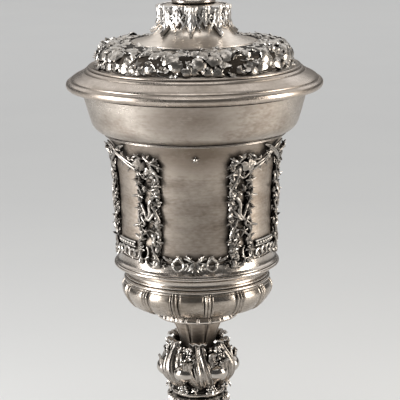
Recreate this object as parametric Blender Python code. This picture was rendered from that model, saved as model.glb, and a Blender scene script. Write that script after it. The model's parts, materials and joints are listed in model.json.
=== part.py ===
"""A lidded presentation cup in silver.

Metres, +Z up. The origin is the middle of the foot's resting face, and the front looks along -Y.
Angles are in degrees, counted from the front towards +X. Each piece that a silversmith makes
separately is its own object, and pieces that are soldered or screwed together lie one SEAM apart.
"""
import math

import bmesh
import bpy
from mathutils import Matrix, Vector

# Joints, walls and rods
SEAM = 0.0003
WALL = 0.0013
LID_FIT = 0.0006
ROD_RADIUS = 0.003
SHOULDER = 0.003
WASHER_RADIUS = 0.0075
WASHER_HEIGHT = 0.0012
NUT_RADIUS = 0.006
NUT_HEIGHT = 0.005
ROD_HEAD_RADIUS = 0.009
ROD_HEAD_HEIGHT = 0.0025
ROD_TAIL = 0.002

# Heights of the stacked pieces, from the table up
FOOT_RIM_HEIGHT = 0.005
FOOT_BAND_HEIGHT = 0.010
FOOT_DOME_HEIGHT = 0.042
STEM_HEIGHT = 0.0215
TORUS_HEIGHT = 0.004
CORE_HEIGHT = 0.0257
NECK_HEIGHT = 0.0211
DISC_HEIGHT = 0.0049
BULGE_HEIGHT = 0.0202
FLANGE_HEIGHT = 0.0189
BARREL_HEIGHT = 0.0757
LIP_HEIGHT = 0.0287
LID_RIM_HEIGHT = 0.0126
CONE_HEIGHT = 0.0373
FINIAL_NECK_HEIGHT = 0.012
FINIAL_CALYX_HEIGHT = 0.009
BUD_HEIGHT = 0.036

# Radii of the bowl and lid: the barrel's, and steps out from it or in from the lid's edge
BARREL_RADIUS = 0.0481
COVE_FLARE = 0.0085
LIP_FLARE = 0.0146
LID_OVERHANG = 0.0088
LEDGE_STEP = 0.0158
DRUM_STEP = 0.0037
WREATH_WIDTH = 0.0213
CONE_TOP_RADIUS = 0.020
CONE_FALL = 0.0036
FLANGE_OVERHANG = 0.0043
FLANGE_THROAT = 0.0033
FLANGE_WALL = 0.0023
BULGE_STEP = 0.0005
DISC_STEP = 0.0213

# Radii of the stem, the foot and the finial
NECK_RADIUS = 0.0104
CORE_RADIUS = 0.0164
TORUS_RADIUS = 0.0172
STEM_RADIUS = 0.0112
STEM_LEAF_RADIUS = 0.0212
FOOT_RADIUS = 0.0625
FOOT_RIM_WIDTH = 0.0085
FOOT_STEP = 0.0115
FOOT_LAND = 0.0045
FOOT_WREATH_WIDTH = 0.013
FINIAL_RADIUS = 0.014
FINIAL_WAIST = 0.0077
BUD_RADIUS = 0.0125

# Small sections and reliefs
WIRE = 0.0014
LID_DROP = 0.002
LID_SEAT_GAP = 0.0019
BEZEL_SEAT = 0.0039
BEZEL_DEPTH = 0.007
WREATH_DEPTH = 0.0022
FOOT_WREATH_DEPTH = 0.0018
GADROON_DEPTH = 0.0007
RIB_RISE = 0.0006
FLUTE_DEPTH = 0.0013
DISC_LINE = 0.0005
COLLAR_DEPTH = 0.0012
COLLAR_LENGTH = 0.016
LEAF_DEPTH = 0.0014
LEAF_HALF_WIDTH = 0.0048
LEAF_LOBE = 0.0035
FRUIT_RADIUS = 0.0046
BERRY_RISE = 0.0006
TRUNK_RADIUS = 0.0016
COLUMN_RELIEF = 0.57
TWIG_RADIUS = 0.0009
GARLAND_RISE = 0.0042
STUD_RADIUS = 0.0016

# Counts and angles
RING = 28
SMALL_RING = 20
PIN_RING = 10
PANELS = 3
COLUMN_ANGLE = 36.0
TRUNK_OFFSET = 7.5
TRUNK_SWAY = 1.3
LOBES = 14
FIRST_RIB = 8.3
RIB_ANGLE = 2.5
DISC_FACETS = 20
FLUTES = 8
FOOT_LOBES = 24
WREATH_LEAVES = 28
FOOT_WREATH_LEAVES = 20
COLLAR_LEAVES = 8
KNOP_LEAVES = 6
KNOP_LEAF_ANGLE = 8.0
FINIAL_LEAVES = 6

# Radii and levels that follow from the sizes
BORE = ROD_RADIUS + SEAM
BARREL_MOUTH_RADIUS = BARREL_RADIUS + COVE_FLARE
LIP_RADIUS = BARREL_MOUTH_RADIUS + LIP_FLARE
LID_RADIUS = LIP_RADIUS + LID_OVERHANG
LEDGE_RADIUS = LID_RADIUS - LEDGE_STEP
DRUM_RADIUS = LEDGE_RADIUS - DRUM_STEP
CONE_EDGE_RADIUS = DRUM_RADIUS - WREATH_WIDTH
FLANGE_RADIUS = BARREL_RADIUS + FLANGE_OVERHANG
BULGE_RADIUS = BARREL_RADIUS - BULGE_STEP
DISC_RADIUS = BULGE_RADIUS - DISC_STEP
FOOT_STEP_RADIUS = FOOT_RADIUS - FOOT_STEP
BAND_LOW = FOOT_RIM_HEIGHT + SEAM
DOME_LOW = BAND_LOW + FOOT_BAND_HEIGHT + SEAM
STEM_LOW = DOME_LOW + FOOT_DOME_HEIGHT + SEAM
TORUS_LOW = STEM_LOW + STEM_HEIGHT + SEAM
CORE_LOW = TORUS_LOW + TORUS_HEIGHT + SEAM
NECK_LOW = CORE_LOW + CORE_HEIGHT + SEAM
DISC_LOW = NECK_LOW + NECK_HEIGHT + SEAM
BULGE_LOW = DISC_LOW + DISC_HEIGHT + SEAM
FLANGE_LOW = BULGE_LOW + BULGE_HEIGHT + SEAM
BARREL_LOW = FLANGE_LOW + FLANGE_HEIGHT + SEAM
LIP_LOW = BARREL_LOW + BARREL_HEIGHT + SEAM
LID_LOW = LIP_LOW + LIP_HEIGHT + SEAM
CONE_LOW = LID_LOW + LID_RIM_HEIGHT + SEAM
FINIAL_LOW = CONE_LOW + CONE_HEIGHT + SEAM
CALYX_LOW = FINIAL_LOW + FINIAL_NECK_HEIGHT + SEAM
BUD_LOW = CALYX_LOW + FINIAL_CALYX_HEIGHT + SEAM
PANEL_MIDDLE = 180.0 / PANELS
NARROW_HALF = PANEL_MIDDLE - COLUMN_ANGLE - TRUNK_OFFSET
WIDE_HALF = COLUMN_ANGLE - TRUNK_OFFSET
TRUNK_CLEARANCE = TRUNK_SWAY + math.degrees((1.2 * TRUNK_RADIUS + 1.3 * TWIG_RADIUS + 2 * SEAM) / BARREL_RADIUS)


def clear_scene():
    """Removes whatever the file starts with."""
    for item in list(bpy.data.objects):
        bpy.data.objects.remove(item, do_unlink=True)


def finish(name, colour, roughness):
    """A metal finish with one colour and one roughness."""
    material = bpy.data.materials.new(name)
    material.use_nodes = True
    shader = material.node_tree.nodes["Principled BSDF"]
    shader.inputs["Base Color"].default_value = (*colour, 1.0)
    shader.inputs["Metallic"].default_value = 1.0
    shader.inputs["Roughness"].default_value = roughness
    return material


def place(angle, radius, height):
    """The point at an angle from the front, a radius from the axis and a height."""
    turn = math.radians(angle)
    return Vector((radius * math.sin(turn), -radius * math.cos(turn), height))


def add_object(name, mesh, material, turn=0.0):
    """Adds a mesh as a named object, turned about the cup's axis."""
    item = bpy.data.objects.new(name, mesh)
    item.rotation_euler = (0.0, 0.0, math.radians(turn))
    if not mesh.materials:
        mesh.materials.append(material)
    bpy.context.scene.collection.objects.link(item)
    return item


def mesh_from(name, body):
    """Closes a bmesh into a mesh with its faces pointing out and its corners kept sharp."""
    bmesh.ops.recalc_face_normals(body, faces=body.faces)
    mesh = bpy.data.meshes.new(name)
    body.to_mesh(mesh)
    body.free()
    mesh.shade_smooth()
    mesh.set_sharp_from_angle(angle=math.radians(40))
    return mesh


def even_angles(count):
    """Angles that share a turn evenly, from the front."""
    return [360.0 * step / count for step in range(count)]


def turned_mesh(name, outline, angles, relief=None):
    """Carries an outline of (radius, height) points round the axis.

    An outline that starts and ends on the axis gives a solid, any other is closed into a ring.
    relief(angle, row) gives how far a row's point moves out at an angle.
    """
    body = bmesh.new()
    solid = outline[0][0] == 0.0
    inner = outline[1:-1] if solid else outline
    columns = []
    for angle in angles:
        lift = [relief(angle, row) if relief else 0.0 for row in range(len(inner))]
        columns.append([body.verts.new(place(angle, radius + lift[row], height))
                        for row, (radius, height) in enumerate(inner)])
    poles = [body.verts.new((0, 0, outline[end][1])) for end in (0, -1)] if solid else []
    for side, column in enumerate(columns):
        after = columns[(side + 1) % len(columns)]
        for row in range(len(inner) - (1 if solid else 0)):
            above = (row + 1) % len(inner)
            body.faces.new((column[row], after[row], after[above], column[above]))
        if solid:
            body.faces.new((poles[0], after[0], column[0]))
            body.faces.new((poles[1], column[-1], after[-1]))
    return mesh_from(name, body)


def turned(name, outline, material, angles=None, relief=None):
    """A turned piece as an object."""
    return add_object(name, turned_mesh(name, outline, angles or even_angles(RING), relief), material)


def along(outline, height):
    """The radius at a height on an outline whose heights only rise."""
    for (low_radius, low), (high_radius, high) in zip(outline, outline[1:]):
        if height <= high:
            share = max(0.0, (height - low) / (high - low))
            return low_radius + (high_radius - low_radius) * share
    return outline[-1][0]


def barrel_wall():
    """The barrel's outer wall: nearly straight, then a cove that opens under the lip."""
    steps = (0.0, 0.45, 0.66, 0.8, 0.91, 1.0)
    spread = BARREL_MOUTH_RADIUS - BARREL_RADIUS
    return [(BARREL_RADIUS + spread * step**5, BARREL_LOW + BARREL_HEIGHT * step) for step in steps]


def flange_slope():
    """The flange's upper slope, from its edge up to the barrel's foot."""
    top = FLANGE_LOW + FLANGE_HEIGHT
    rise = FLANGE_HEIGHT
    return [(BARREL_RADIUS + 0.58 * FLANGE_OVERHANG, top - 0.32 * rise),
            (BARREL_RADIUS + 0.26 * FLANGE_OVERHANG, top - 0.2 * rise),
            (BARREL_RADIUS + 0.12 * FLANGE_OVERHANG, top)]


def on_skin(angle, height, lift):
    """A point that stands off the barrel, or off the flange's slope below it, square to the wall."""
    skin = flange_slope() + barrel_wall()
    radius = along(skin, height)
    step = 0.001
    slope = (along(skin, height + step) - along(skin, height - step)) / (2 * step)
    length = math.hypot(1.0, slope)
    return place(angle, radius + lift / length, height - lift * slope / length)


def tube(points, radii, sides, closed=False):
    """A tube through points, with its own radius at each, capped unless it closes on itself."""
    body = bmesh.new()
    rings = []
    count = len(points)
    for index, point in enumerate(points):
        before = points[index - 1] if closed or index else point
        after = points[(index + 1) % count] if closed or index < count - 1 else point
        forward = (after - before).normalized()
        outward = Vector((point.x, point.y, 0.0)).normalized()
        across = forward.cross(outward).normalized()
        up = across.cross(forward)
        ring = []
        for side in range(sides):
            turn = math.tau * side / sides
            offset = across * math.cos(turn) + up * math.sin(turn)
            ring.append(body.verts.new(point + offset * radii[index]))
        rings.append(ring)
    for index in range(count if closed else count - 1):
        ring, following = rings[index], rings[(index + 1) % count]
        for side in range(sides):
            other = (side + 1) % sides
            body.faces.new((ring[side], ring[other], following[other], following[side]))
    if not closed:
        body.faces.new(rings[0])
        body.faces.new(rings[-1])
    return mesh_from("tube", body)


def lump(centre, size, turn, detail=2):
    """A rounded lump with its own size along the tangent, the radius and the axis."""
    body = bmesh.new()
    frame = Matrix.Translation(centre) @ Matrix.Rotation(math.radians(turn), 4, "Z")
    bmesh.ops.create_icosphere(body, subdivisions=detail, radius=1.0,
                               matrix=frame @ Matrix.Diagonal((*size, 1.0)))
    return mesh_from("lump", body)


def fused_mesh(name, meshes):
    """One closed mesh from several that run into each other."""
    items = [bpy.data.objects.new("part_of_" + name, mesh) for mesh in meshes]
    for item in items:
        bpy.context.scene.collection.objects.link(item)
    for item in items[1:]:
        union = items[0].modifiers.new("union", "BOOLEAN")
        union.operation = "UNION"
        union.object = item
    seen = items[0].evaluated_get(bpy.context.evaluated_depsgraph_get())
    mesh = bpy.data.meshes.new_from_object(seen)
    mesh.name = name
    for item in items:
        bpy.data.objects.remove(item, do_unlink=True)
    return mesh


def build_foot(satin, cast, bright):
    """The rim that the cup stands on, the gadrooned band, the hollow dome and its leaf wreath."""
    rim_inner = FOOT_RADIUS - FOOT_RIM_WIDTH
    rim = FOOT_RIM_HEIGHT
    turned("foot_rim", [(rim_inner, 0.0), (FOOT_RADIUS - 0.16 * rim, 0.0), (FOOT_RADIUS, 0.24 * rim),
                        (FOOT_RADIUS - 0.08 * rim, 0.5 * rim), (FOOT_RADIUS - 0.4 * rim, rim), (rim_inner, rim)],
           bright)
    band_top = BAND_LOW + FOOT_BAND_HEIGHT
    band = [(rim_inner, BAND_LOW), (FOOT_RADIUS - 0.5 * rim, BAND_LOW),
            (FOOT_RADIUS - 0.44 * rim, BAND_LOW + 0.35 * FOOT_BAND_HEIGHT),
            (FOOT_RADIUS - 0.48 * FOOT_STEP, BAND_LOW + 0.8 * FOOT_BAND_HEIGHT),
            (FOOT_STEP_RADIUS + 0.09 * FOOT_STEP, band_top), (FOOT_STEP_RADIUS - FOOT_LAND, band_top)]
    lobe = 180.0 / FOOT_LOBES

    def gadroon(angle, row):
        """Lobes on the band's outer rows."""
        crest = round(angle / lobe) % 2
        return GADROON_DEPTH * (2 * crest - 1) if row in (2, 3) else 0.0

    turned("foot_gadroon_band", band, cast, even_angles(2 * FOOT_LOBES), gadroon)
    shoulder = foot_shoulder()
    dome_top = DOME_LOW + FOOT_DOME_HEIGHT
    trumpet = [(STEM_RADIUS + (shoulder[-1][0] - STEM_RADIUS) * (1 - share)**2.6,
                shoulder[-1][1] + (dome_top - shoulder[-1][1]) * share)
               for share in (0.2, 0.42, 0.68, 1.0)]
    outer = shoulder + trumpet
    hollow = [(radius - WALL, height - 0.7 * WALL) for radius, height in reversed(outer[1:-1])]
    shoulder_low = dome_top - SHOULDER
    turned("foot_dome", [*outer, (BORE, dome_top), (BORE, shoulder_low),
                         (STEM_RADIUS - 0.7 * WALL, shoulder_low), *hollow,
                         (FOOT_STEP_RADIUS - 1.6 * WALL, DOME_LOW)], satin)
    back = [(radius + SEAM, height + SEAM) for radius, height in shoulder]
    depth = FOOT_WREATH_DEPTH
    wreath = [back[0], (back[0][0] + depth, back[0][1] + 0.1 * depth),
              (back[1][0] + 0.6 * depth, back[1][1] + depth),
              (back[2][0] + 0.5 * depth, back[2][1] + depth), back[2], back[1]]
    turned("foot_wreath", wreath, cast, even_angles(2 * FOOT_WREATH_LEAVES),
           leaf_relief(FOOT_WREATH_LEAVES, 0.3 * depth, (1, 2, 3)))


def foot_shoulder():
    """The dome's convex shoulder, which the foot's wreath lies on."""
    return [(FOOT_STEP_RADIUS, DOME_LOW),
            (FOOT_STEP_RADIUS - 0.2 * FOOT_WREATH_WIDTH, DOME_LOW + 0.12 * FOOT_DOME_HEIGHT),
            (FOOT_STEP_RADIUS - FOOT_WREATH_WIDTH, DOME_LOW + 0.24 * FOOT_DOME_HEIGHT)]


def leaf_relief(leaves, depth, rows):
    """Leaf bumps in staggered rows round a wreath."""
    pitch = 180.0 / leaves

    def relief(angle, row):
        """Out on every second column, and one column over in the next row."""
        return depth * (2 * ((round(angle / pitch) + row) % 2) - 1) if row in rows else 0.0

    return relief


def build_stem(satin, cast, bright):
    """The leafy lower stem, the ring under the knop, the knop's core and the fluted neck."""
    top = STEM_LOW + STEM_HEIGHT
    torus_land = TORUS_RADIUS - 0.65 * TORUS_HEIGHT
    stem = [(BORE, STEM_LOW), (1.1 * STEM_RADIUS, STEM_LOW), (STEM_RADIUS, STEM_LOW + 0.2 * STEM_HEIGHT),
            (0.7 * STEM_RADIUS + 0.3 * STEM_LEAF_RADIUS, STEM_LOW + 0.5 * STEM_HEIGHT),
            (STEM_LEAF_RADIUS, STEM_LOW + 0.8 * STEM_HEIGHT), (0.95 * STEM_LEAF_RADIUS, STEM_LOW + 0.9 * STEM_HEIGHT),
            (torus_land, top), (BORE, top)]
    pitch = 360.0 / KNOP_LEAVES

    def lobes(angle, row):
        """Six leaf tips round the flared top."""
        away = abs((angle - KNOP_LEAF_ANGLE + pitch / 2) % pitch - pitch / 2) / (pitch / 2)
        return -LEAF_LOBE * away if row in (4, 5) else 0.0

    turned("lower_stem", stem, cast, even_angles(SMALL_RING), lobes)
    torus_top = TORUS_LOW + TORUS_HEIGHT
    torus = [(torus_land, TORUS_LOW), (TORUS_RADIUS, TORUS_LOW + 0.35 * TORUS_HEIGHT),
             (TORUS_RADIUS, TORUS_LOW + 0.65 * TORUS_HEIGHT), (torus_land, torus_top),
             (BORE, torus_top), (BORE, TORUS_LOW)]
    turned("knop_torus", torus, bright, even_angles(SMALL_RING))
    turned("knop_core", [(BORE, CORE_LOW), *core_wall(), (BORE, CORE_LOW + CORE_HEIGHT)], cast,
           even_angles(SMALL_RING))
    neck_top = NECK_LOW + NECK_HEIGHT
    neck = [(BORE, NECK_LOW), (NECK_RADIUS, NECK_LOW), (1.14 * NECK_RADIUS, NECK_LOW + 0.34 * NECK_HEIGHT),
            (1.34 * NECK_RADIUS, NECK_LOW + 0.64 * NECK_HEIGHT), (1.67 * NECK_RADIUS, neck_top), (BORE, neck_top)]
    flute = 360.0 / FLUTES
    angles = [flute * count + offset * flute for count in range(FLUTES) for offset in (0.14, 0.5, 0.86)]

    def groove(angle, row):
        """A groove between two flat flutes."""
        return -FLUTE_DEPTH if row in (1, 2, 3, 4) and abs(angle / flute % 1.0 - 0.5) < 0.01 else 0.0

    turned("fluted_neck", neck, satin, angles, groove)


def core_wall():
    """The knop's core, which leaves and fruits are soldered on."""
    return [(0.82 * CORE_RADIUS, CORE_LOW), (0.965 * CORE_RADIUS, CORE_LOW + 0.18 * CORE_HEIGHT),
            (CORE_RADIUS, CORE_LOW + 0.36 * CORE_HEIGHT), (0.965 * CORE_RADIUS, CORE_LOW + 0.58 * CORE_HEIGHT),
            (0.6 * NECK_RADIUS + 0.4 * CORE_RADIUS, CORE_LOW + 0.84 * CORE_HEIGHT),
            (NECK_RADIUS, CORE_LOW + CORE_HEIGHT)]


def leaf_mesh(name, path, half_widths, depth):
    """A crowned leaf whose back follows a path of (radius, height) points at the front, foot to tip."""
    body = bmesh.new()
    columns = (-1.0, -0.5, 0.0, 0.5, 1.0)
    backs, fronts = [], []
    for index, (radius, height) in enumerate(path):
        before, after = path[max(index - 1, 0)], path[min(index + 1, len(path) - 1)]
        run = Vector((after[0] - before[0], after[1] - before[1])).normalized()
        outward = Vector((run.y, -run.x))
        back_row, front_row = [], []
        for column in columns:
            angle = math.degrees(column * half_widths[index] / max(radius, CORE_RADIUS))
            thickness = depth * (1.0 - 0.45 * column**2)
            front = Vector((radius, height)) + outward * thickness
            back_row.append(body.verts.new(place(angle, radius, height)))
            front_row.append(body.verts.new(place(angle, front.x, front.y)))
        backs.append(back_row)
        fronts.append(front_row)
    last = len(columns) - 1
    for index in range(len(path) - 1):
        for side in range(last):
            for rows in (backs, fronts):
                body.faces.new((rows[index][side], rows[index][side + 1],
                                rows[index + 1][side + 1], rows[index + 1][side]))
        for side in (0, last):
            body.faces.new((backs[index][side], fronts[index][side],
                            fronts[index + 1][side], backs[index + 1][side]))
    for index in (0, -1):
        for side in range(last):
            body.faces.new((backs[index][side], backs[index][side + 1],
                            fronts[index][side + 1], fronts[index][side]))
    return mesh_from(name, body)


def build_knop_ornament(cast):
    """Six curling leaves with a fruit between each two."""
    wall = core_wall()
    seat = [(along(wall, CORE_LOW + share * CORE_HEIGHT) + SEAM, CORE_LOW + share * CORE_HEIGHT)
            for share in (0.03, 0.12)]
    reach = CORE_RADIUS + FRUIT_RADIUS
    free = [(CORE_RADIUS + 0.78 * FRUIT_RADIUS, 0.32), (reach + 0.63 * FRUIT_RADIUS, 0.56), (reach, 0.86),
            (reach - 0.75 * FRUIT_RADIUS, 1.17), (reach - 0.6 * FRUIT_RADIUS, 1.4),
            (reach + 0.1 * FRUIT_RADIUS, 1.41)]
    path = seat + [(radius, CORE_LOW + share * CORE_HEIGHT) for radius, share in free]
    widths = [LEAF_HALF_WIDTH * share for share in (0.7, 0.8, 0.95, 1.1, 1.4, 1.3, 1.15, 0.9)]
    leaf = leaf_mesh("knop_leaf", path, widths, LEAF_DEPTH)
    fruit_height = CORE_LOW + 0.36 * CORE_HEIGHT
    fruit_radius = along(wall, fruit_height) + SEAM + FRUIT_RADIUS
    fruit = lump(place(0.0, fruit_radius, fruit_height),
                 (1.05 * FRUIT_RADIUS, FRUIT_RADIUS, 1.1 * FRUIT_RADIUS), 0.0)
    pitch = 360.0 / KNOP_LEAVES
    for count in range(KNOP_LEAVES):
        add_object(f"knop_leaf_{count + 1}", leaf, cast, KNOP_LEAF_ANGLE + pitch * count)
        add_object(f"knop_fruit_{count + 1}", fruit, cast, KNOP_LEAF_ANGLE + pitch * (count - 0.5))


def build_bowl(satin, bright):
    """The segmented disc, the gadrooned bulge, the flange, the barrel and the flared lip."""
    disc_top = DISC_LOW + DISC_HEIGHT
    disc = [(BORE, DISC_LOW), (0.77 * DISC_RADIUS, DISC_LOW), (DISC_RADIUS, DISC_LOW + 0.12 * DISC_HEIGHT),
            (0.985 * DISC_RADIUS, DISC_LOW + 0.6 * DISC_HEIGHT), (0.95 * DISC_RADIUS, disc_top), (BORE, disc_top)]
    facet = 180.0 / DISC_FACETS
    turned("facet_disc", disc, bright, even_angles(2 * DISC_FACETS),
           lambda angle, row: -DISC_LINE if row in (2, 3, 4) and round(angle / facet) % 2 == 0 else 0.0)
    build_bulge(satin)
    slope = flange_slope()
    rise = FLANGE_HEIGHT
    throat = BARREL_RADIUS - FLANGE_THROAT
    inner = throat - FLANGE_WALL
    turned("flange_ring", [(inner, FLANGE_LOW), (throat + 0.36 * FLANGE_THROAT, FLANGE_LOW),
                           (throat, FLANGE_LOW + 0.26 * rise),
                           (FLANGE_RADIUS - 0.12 * FLANGE_OVERHANG, FLANGE_LOW + 0.51 * rise),
                           (FLANGE_RADIUS, FLANGE_LOW + 0.58 * rise), *slope,
                           (inner, FLANGE_LOW + FLANGE_HEIGHT)], bright)
    wall = barrel_wall()
    floor = BARREL_LOW + WALL
    hollow = [(radius - WALL, height) for radius, height in reversed(wall[2:])]
    turned("barrel", [(0.0, BARREL_LOW), *wall, *hollow, (BARREL_RADIUS - WALL, floor), (0.0, floor)], satin)
    lip = lip_wall()
    lip_low = BARREL_MOUTH_RADIUS - WALL
    turned("flared_lip", [*lip, *lip_hollow(), (lip_low, LIP_LOW + 0.9 * WALL), (lip_low, LIP_LOW)], satin)
    wire_middle = LIP_LOW - SEAM
    seat = BARREL_MOUTH_RADIUS + SEAM
    turned("step_wire", [(seat, wire_middle - WIRE), (seat + WIRE, wire_middle - 0.5 * WIRE), (seat, wire_middle)],
           bright)
    low, high = LID_LOW - 1.9 * WIRE, LID_LOW - 0.6 * WIRE
    turned("lip_wire", [(along(lip, low) + SEAM, low), (along(lip, low) + SEAM + WIRE, 0.5 * (low + high)),
                        (along(lip, high) + SEAM, high)], bright)


def build_bulge(satin):
    """The bowl's lower swelling: wide lobes with a double rib between each two."""
    height = BULGE_HEIGHT
    bulge = [(BULGE_RADIUS - 0.08 * height, BULGE_LOW + height), (BULGE_RADIUS, BULGE_LOW + 0.82 * height),
             (BULGE_RADIUS - 0.05 * height, BULGE_LOW + 0.55 * height),
             (BULGE_RADIUS - 0.3 * height, BULGE_LOW + 0.24 * height), (BULGE_RADIUS - 0.87 * height, BULGE_LOW),
             (BORE, BULGE_LOW), (BORE, BULGE_LOW + WALL), (BULGE_RADIUS - 0.76 * height, BULGE_LOW + 1.6 * WALL),
             (BULGE_RADIUS - 0.21 * height, BULGE_LOW + height)]
    pitch = 360.0 / LOBES
    offsets = (-RIB_ANGLE, 0.0, RIB_ANGLE, pitch / 2)
    angles = [FIRST_RIB + pitch * count + offset for count in range(LOBES) for offset in offsets]

    def ribs(angle, row):
        """Two ribs with a groove between them, and a gently crowned lobe."""
        if row not in (1, 2, 3):
            return 0.0
        away = abs((angle - FIRST_RIB + pitch / 2) % pitch - pitch / 2)
        return RIB_RISE * (0.3 if away < 0.5 * RIB_ANGLE else 1.0 if away < 1.5 * RIB_ANGLE else 0.8)

    turned("gadrooned_bulge", bulge, satin, angles, ribs)


def lip_wall():
    """The flared lip's outer wall, from the step up to its edge."""
    reach = LIP_RADIUS - BARREL_MOUTH_RADIUS
    shape = ((0.03, 0.0), (0.24, 0.035), (0.38, 0.085), (0.54, 0.19), (0.66, 0.38), (1.0, 1.0))
    return [(BARREL_MOUTH_RADIUS + reach * out, LIP_LOW + LIP_HEIGHT * up) for out, up in shape]


def lip_hollow():
    """The flared lip's inside, from its edge down."""
    wall = lip_wall()
    return [(wall[5][0] - WALL, wall[5][1]), (wall[4][0] - WALL, wall[4][1]),
            (wall[2][0] - 0.4 * WALL, wall[2][1] + 1.3 * WALL)]


def build_branches(cast):
    """Trunks, arches, galleries, garlands and studs on the barrel, three times round."""
    column = column_mesh(1.0)
    mirrored = column_mesh(-1.0)
    arch, gallery, garland, stud = arch_mesh(), gallery_mesh(), garland_mesh(), stud_mesh()
    pitch = 360.0 / PANELS
    for count in range(PANELS):
        turn = pitch * count
        add_object(f"branch_column_{2 * count + 1}", column, cast, turn)
        add_object(f"branch_column_{2 * count + 2}", mirrored, cast, turn)
        add_object(f"branch_arch_{count + 1}", arch, cast, turn)
        add_object(f"scroll_gallery_{count + 1}", gallery, cast, turn)
        add_object(f"twig_garland_{count + 1}", garland, cast, turn)
        add_object(f"panel_stud_{count + 1}", stud, cast, turn)


def skin_tube(stations, radius, sides, closed=False, rise=0.0):
    """A tube that lies on the barrel, or rises off it, through (angle, height) stations."""
    points = [on_skin(angle, height, SEAM + radius + rise) for angle, height in stations]
    return tube(points, [radius] * len(points), sides, closed)


def trunk_angle(side, share):
    """The sway of a column's left (-1) or right (1) trunk along its height."""
    waves = 2.0 if side < 0 else 1.5
    return COLUMN_ANGLE + side * TRUNK_OFFSET + TRUNK_SWAY * math.sin(math.tau * waves * share + side)


def column_mesh(hand):
    """Two gnarled trunks, the twigs that tie them and the leaf knot at their top."""
    low, high = BARREL_LOW + 0.03 * BARREL_HEIGHT, BARREL_LOW + 0.89 * BARREL_HEIGHT
    parts = []
    for side in (-1.0, 1.0):
        points, radii = [], []
        for step in range(9):
            share = step / 8
            radii.append(TRUNK_RADIUS * (1.0 + 0.16 * math.sin(5.0 * step)))
            points.append(on_skin(hand * trunk_angle(side, share), low + (high - low) * share,
                                  SEAM + 1.2 * TRUNK_RADIUS))
        parts.append(tube(points, radii, 5))
        parts.extend(leaf_lumps(hand, side, low, high))
    for start, end in ((0.06, 0.20), (0.50, 0.34), (0.58, 0.74)):
        stations = [(hand * angle, low + (high - low) * share) for angle, share in (
            (trunk_angle(-1.0, start), start), (COLUMN_ANGLE, 0.5 * (start + end)), (trunk_angle(1.0, end), end))]
        parts.append(skin_tube(stations, TWIG_RADIUS, 4, rise=1.2 * TRUNK_RADIUS - TWIG_RADIUS))
    knot = (4.4 * TRUNK_RADIUS, 1.1 * TRUNK_RADIUS, 2.0 * TRUNK_RADIUS)
    centre = on_skin(hand * COLUMN_ANGLE, high - 0.6 * TRUNK_RADIUS, SEAM + 1.75 * TRUNK_RADIUS)
    parts.append(lump(centre, knot, hand * COLUMN_ANGLE))
    return pressed(fused_mesh("branch_column", parts), COLUMN_RELIEF)


def pressed(mesh, share):
    """Brings a cast piece closer to the wall that it lies on, to a share of its distance from it."""
    skin = flange_slope() + barrel_wall()
    for vertex in mesh.vertices:
        radius = math.hypot(vertex.co.x, vertex.co.y)
        seat = along(skin, vertex.co.z) + SEAM
        vertex.co.xy *= (seat + (radius - seat) * share) / radius
    return mesh


def leaf_lumps(hand, side, low, high):
    """Small thorny leaves that stand out from a trunk's free side."""
    size = (1.9 * TRUNK_RADIUS, 0.7 * TRUNK_RADIUS, 1.3 * TRUNK_RADIUS)
    lumps = []
    for share in (0.2, 0.62) if side < 0 else (0.42,):
        angle = hand * (trunk_angle(side, share) + side * math.degrees(1.1 * TRUNK_RADIUS / BARREL_RADIUS))
        centre = on_skin(angle, low + (high - low) * share, SEAM + 1.1 * TRUNK_RADIUS)
        lumps.append(lump(centre, size, angle, detail=1))
    return lumps


def arch_mesh():
    """Two rods that cross over a narrow panel, from the trunks up to the step."""
    low, high = BARREL_LOW + 0.81 * BARREL_HEIGHT, BARREL_LOW + 0.96 * BARREL_HEIGHT
    foot, head = NARROW_HALF - TRUNK_CLEARANCE, -0.6 * NARROW_HALF
    rods = []
    for hand in (-1.0, 1.0):
        stations = [(PANEL_MIDDLE + hand * (foot + (head - foot) * share), low + (high - low) * share)
                    for share in (0.0, 0.25, 0.5, 0.75, 1.0)]
        rods.append(skin_tube(stations, 1.3 * TWIG_RADIUS, 5))
    return fused_mesh("branch_arch", rods)


def gallery_mesh():
    """A bar over two hanging scrolls, at a narrow panel's foot."""
    bar_height = BARREL_LOW + 0.15 * BARREL_HEIGHT
    half = NARROW_HALF - TRUNK_CLEARANCE
    bar = skin_tube([(PANEL_MIDDLE + half * share, bar_height) for share in (-1.0, -0.33, 0.33, 1.0)],
                    1.4 * TWIG_RADIUS, 5)
    parts = [bar]
    loop = 0.46 * (bar_height - BARREL_LOW) - 0.9 * TWIG_RADIUS
    spread = math.degrees(0.7 * loop / BARREL_RADIUS)
    for share in (-0.5, 0.5):
        stations = [(PANEL_MIDDLE + half * share + spread * math.sin(math.tau * (step + 0.5) / 6),
                     bar_height - 1.1 * loop - loop * math.cos(math.tau * (step + 0.5) / 6)) for step in range(6)]
        parts.append(skin_tube(stations, TWIG_RADIUS, 4, closed=True))
    return fused_mesh("scroll_gallery", parts)


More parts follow.
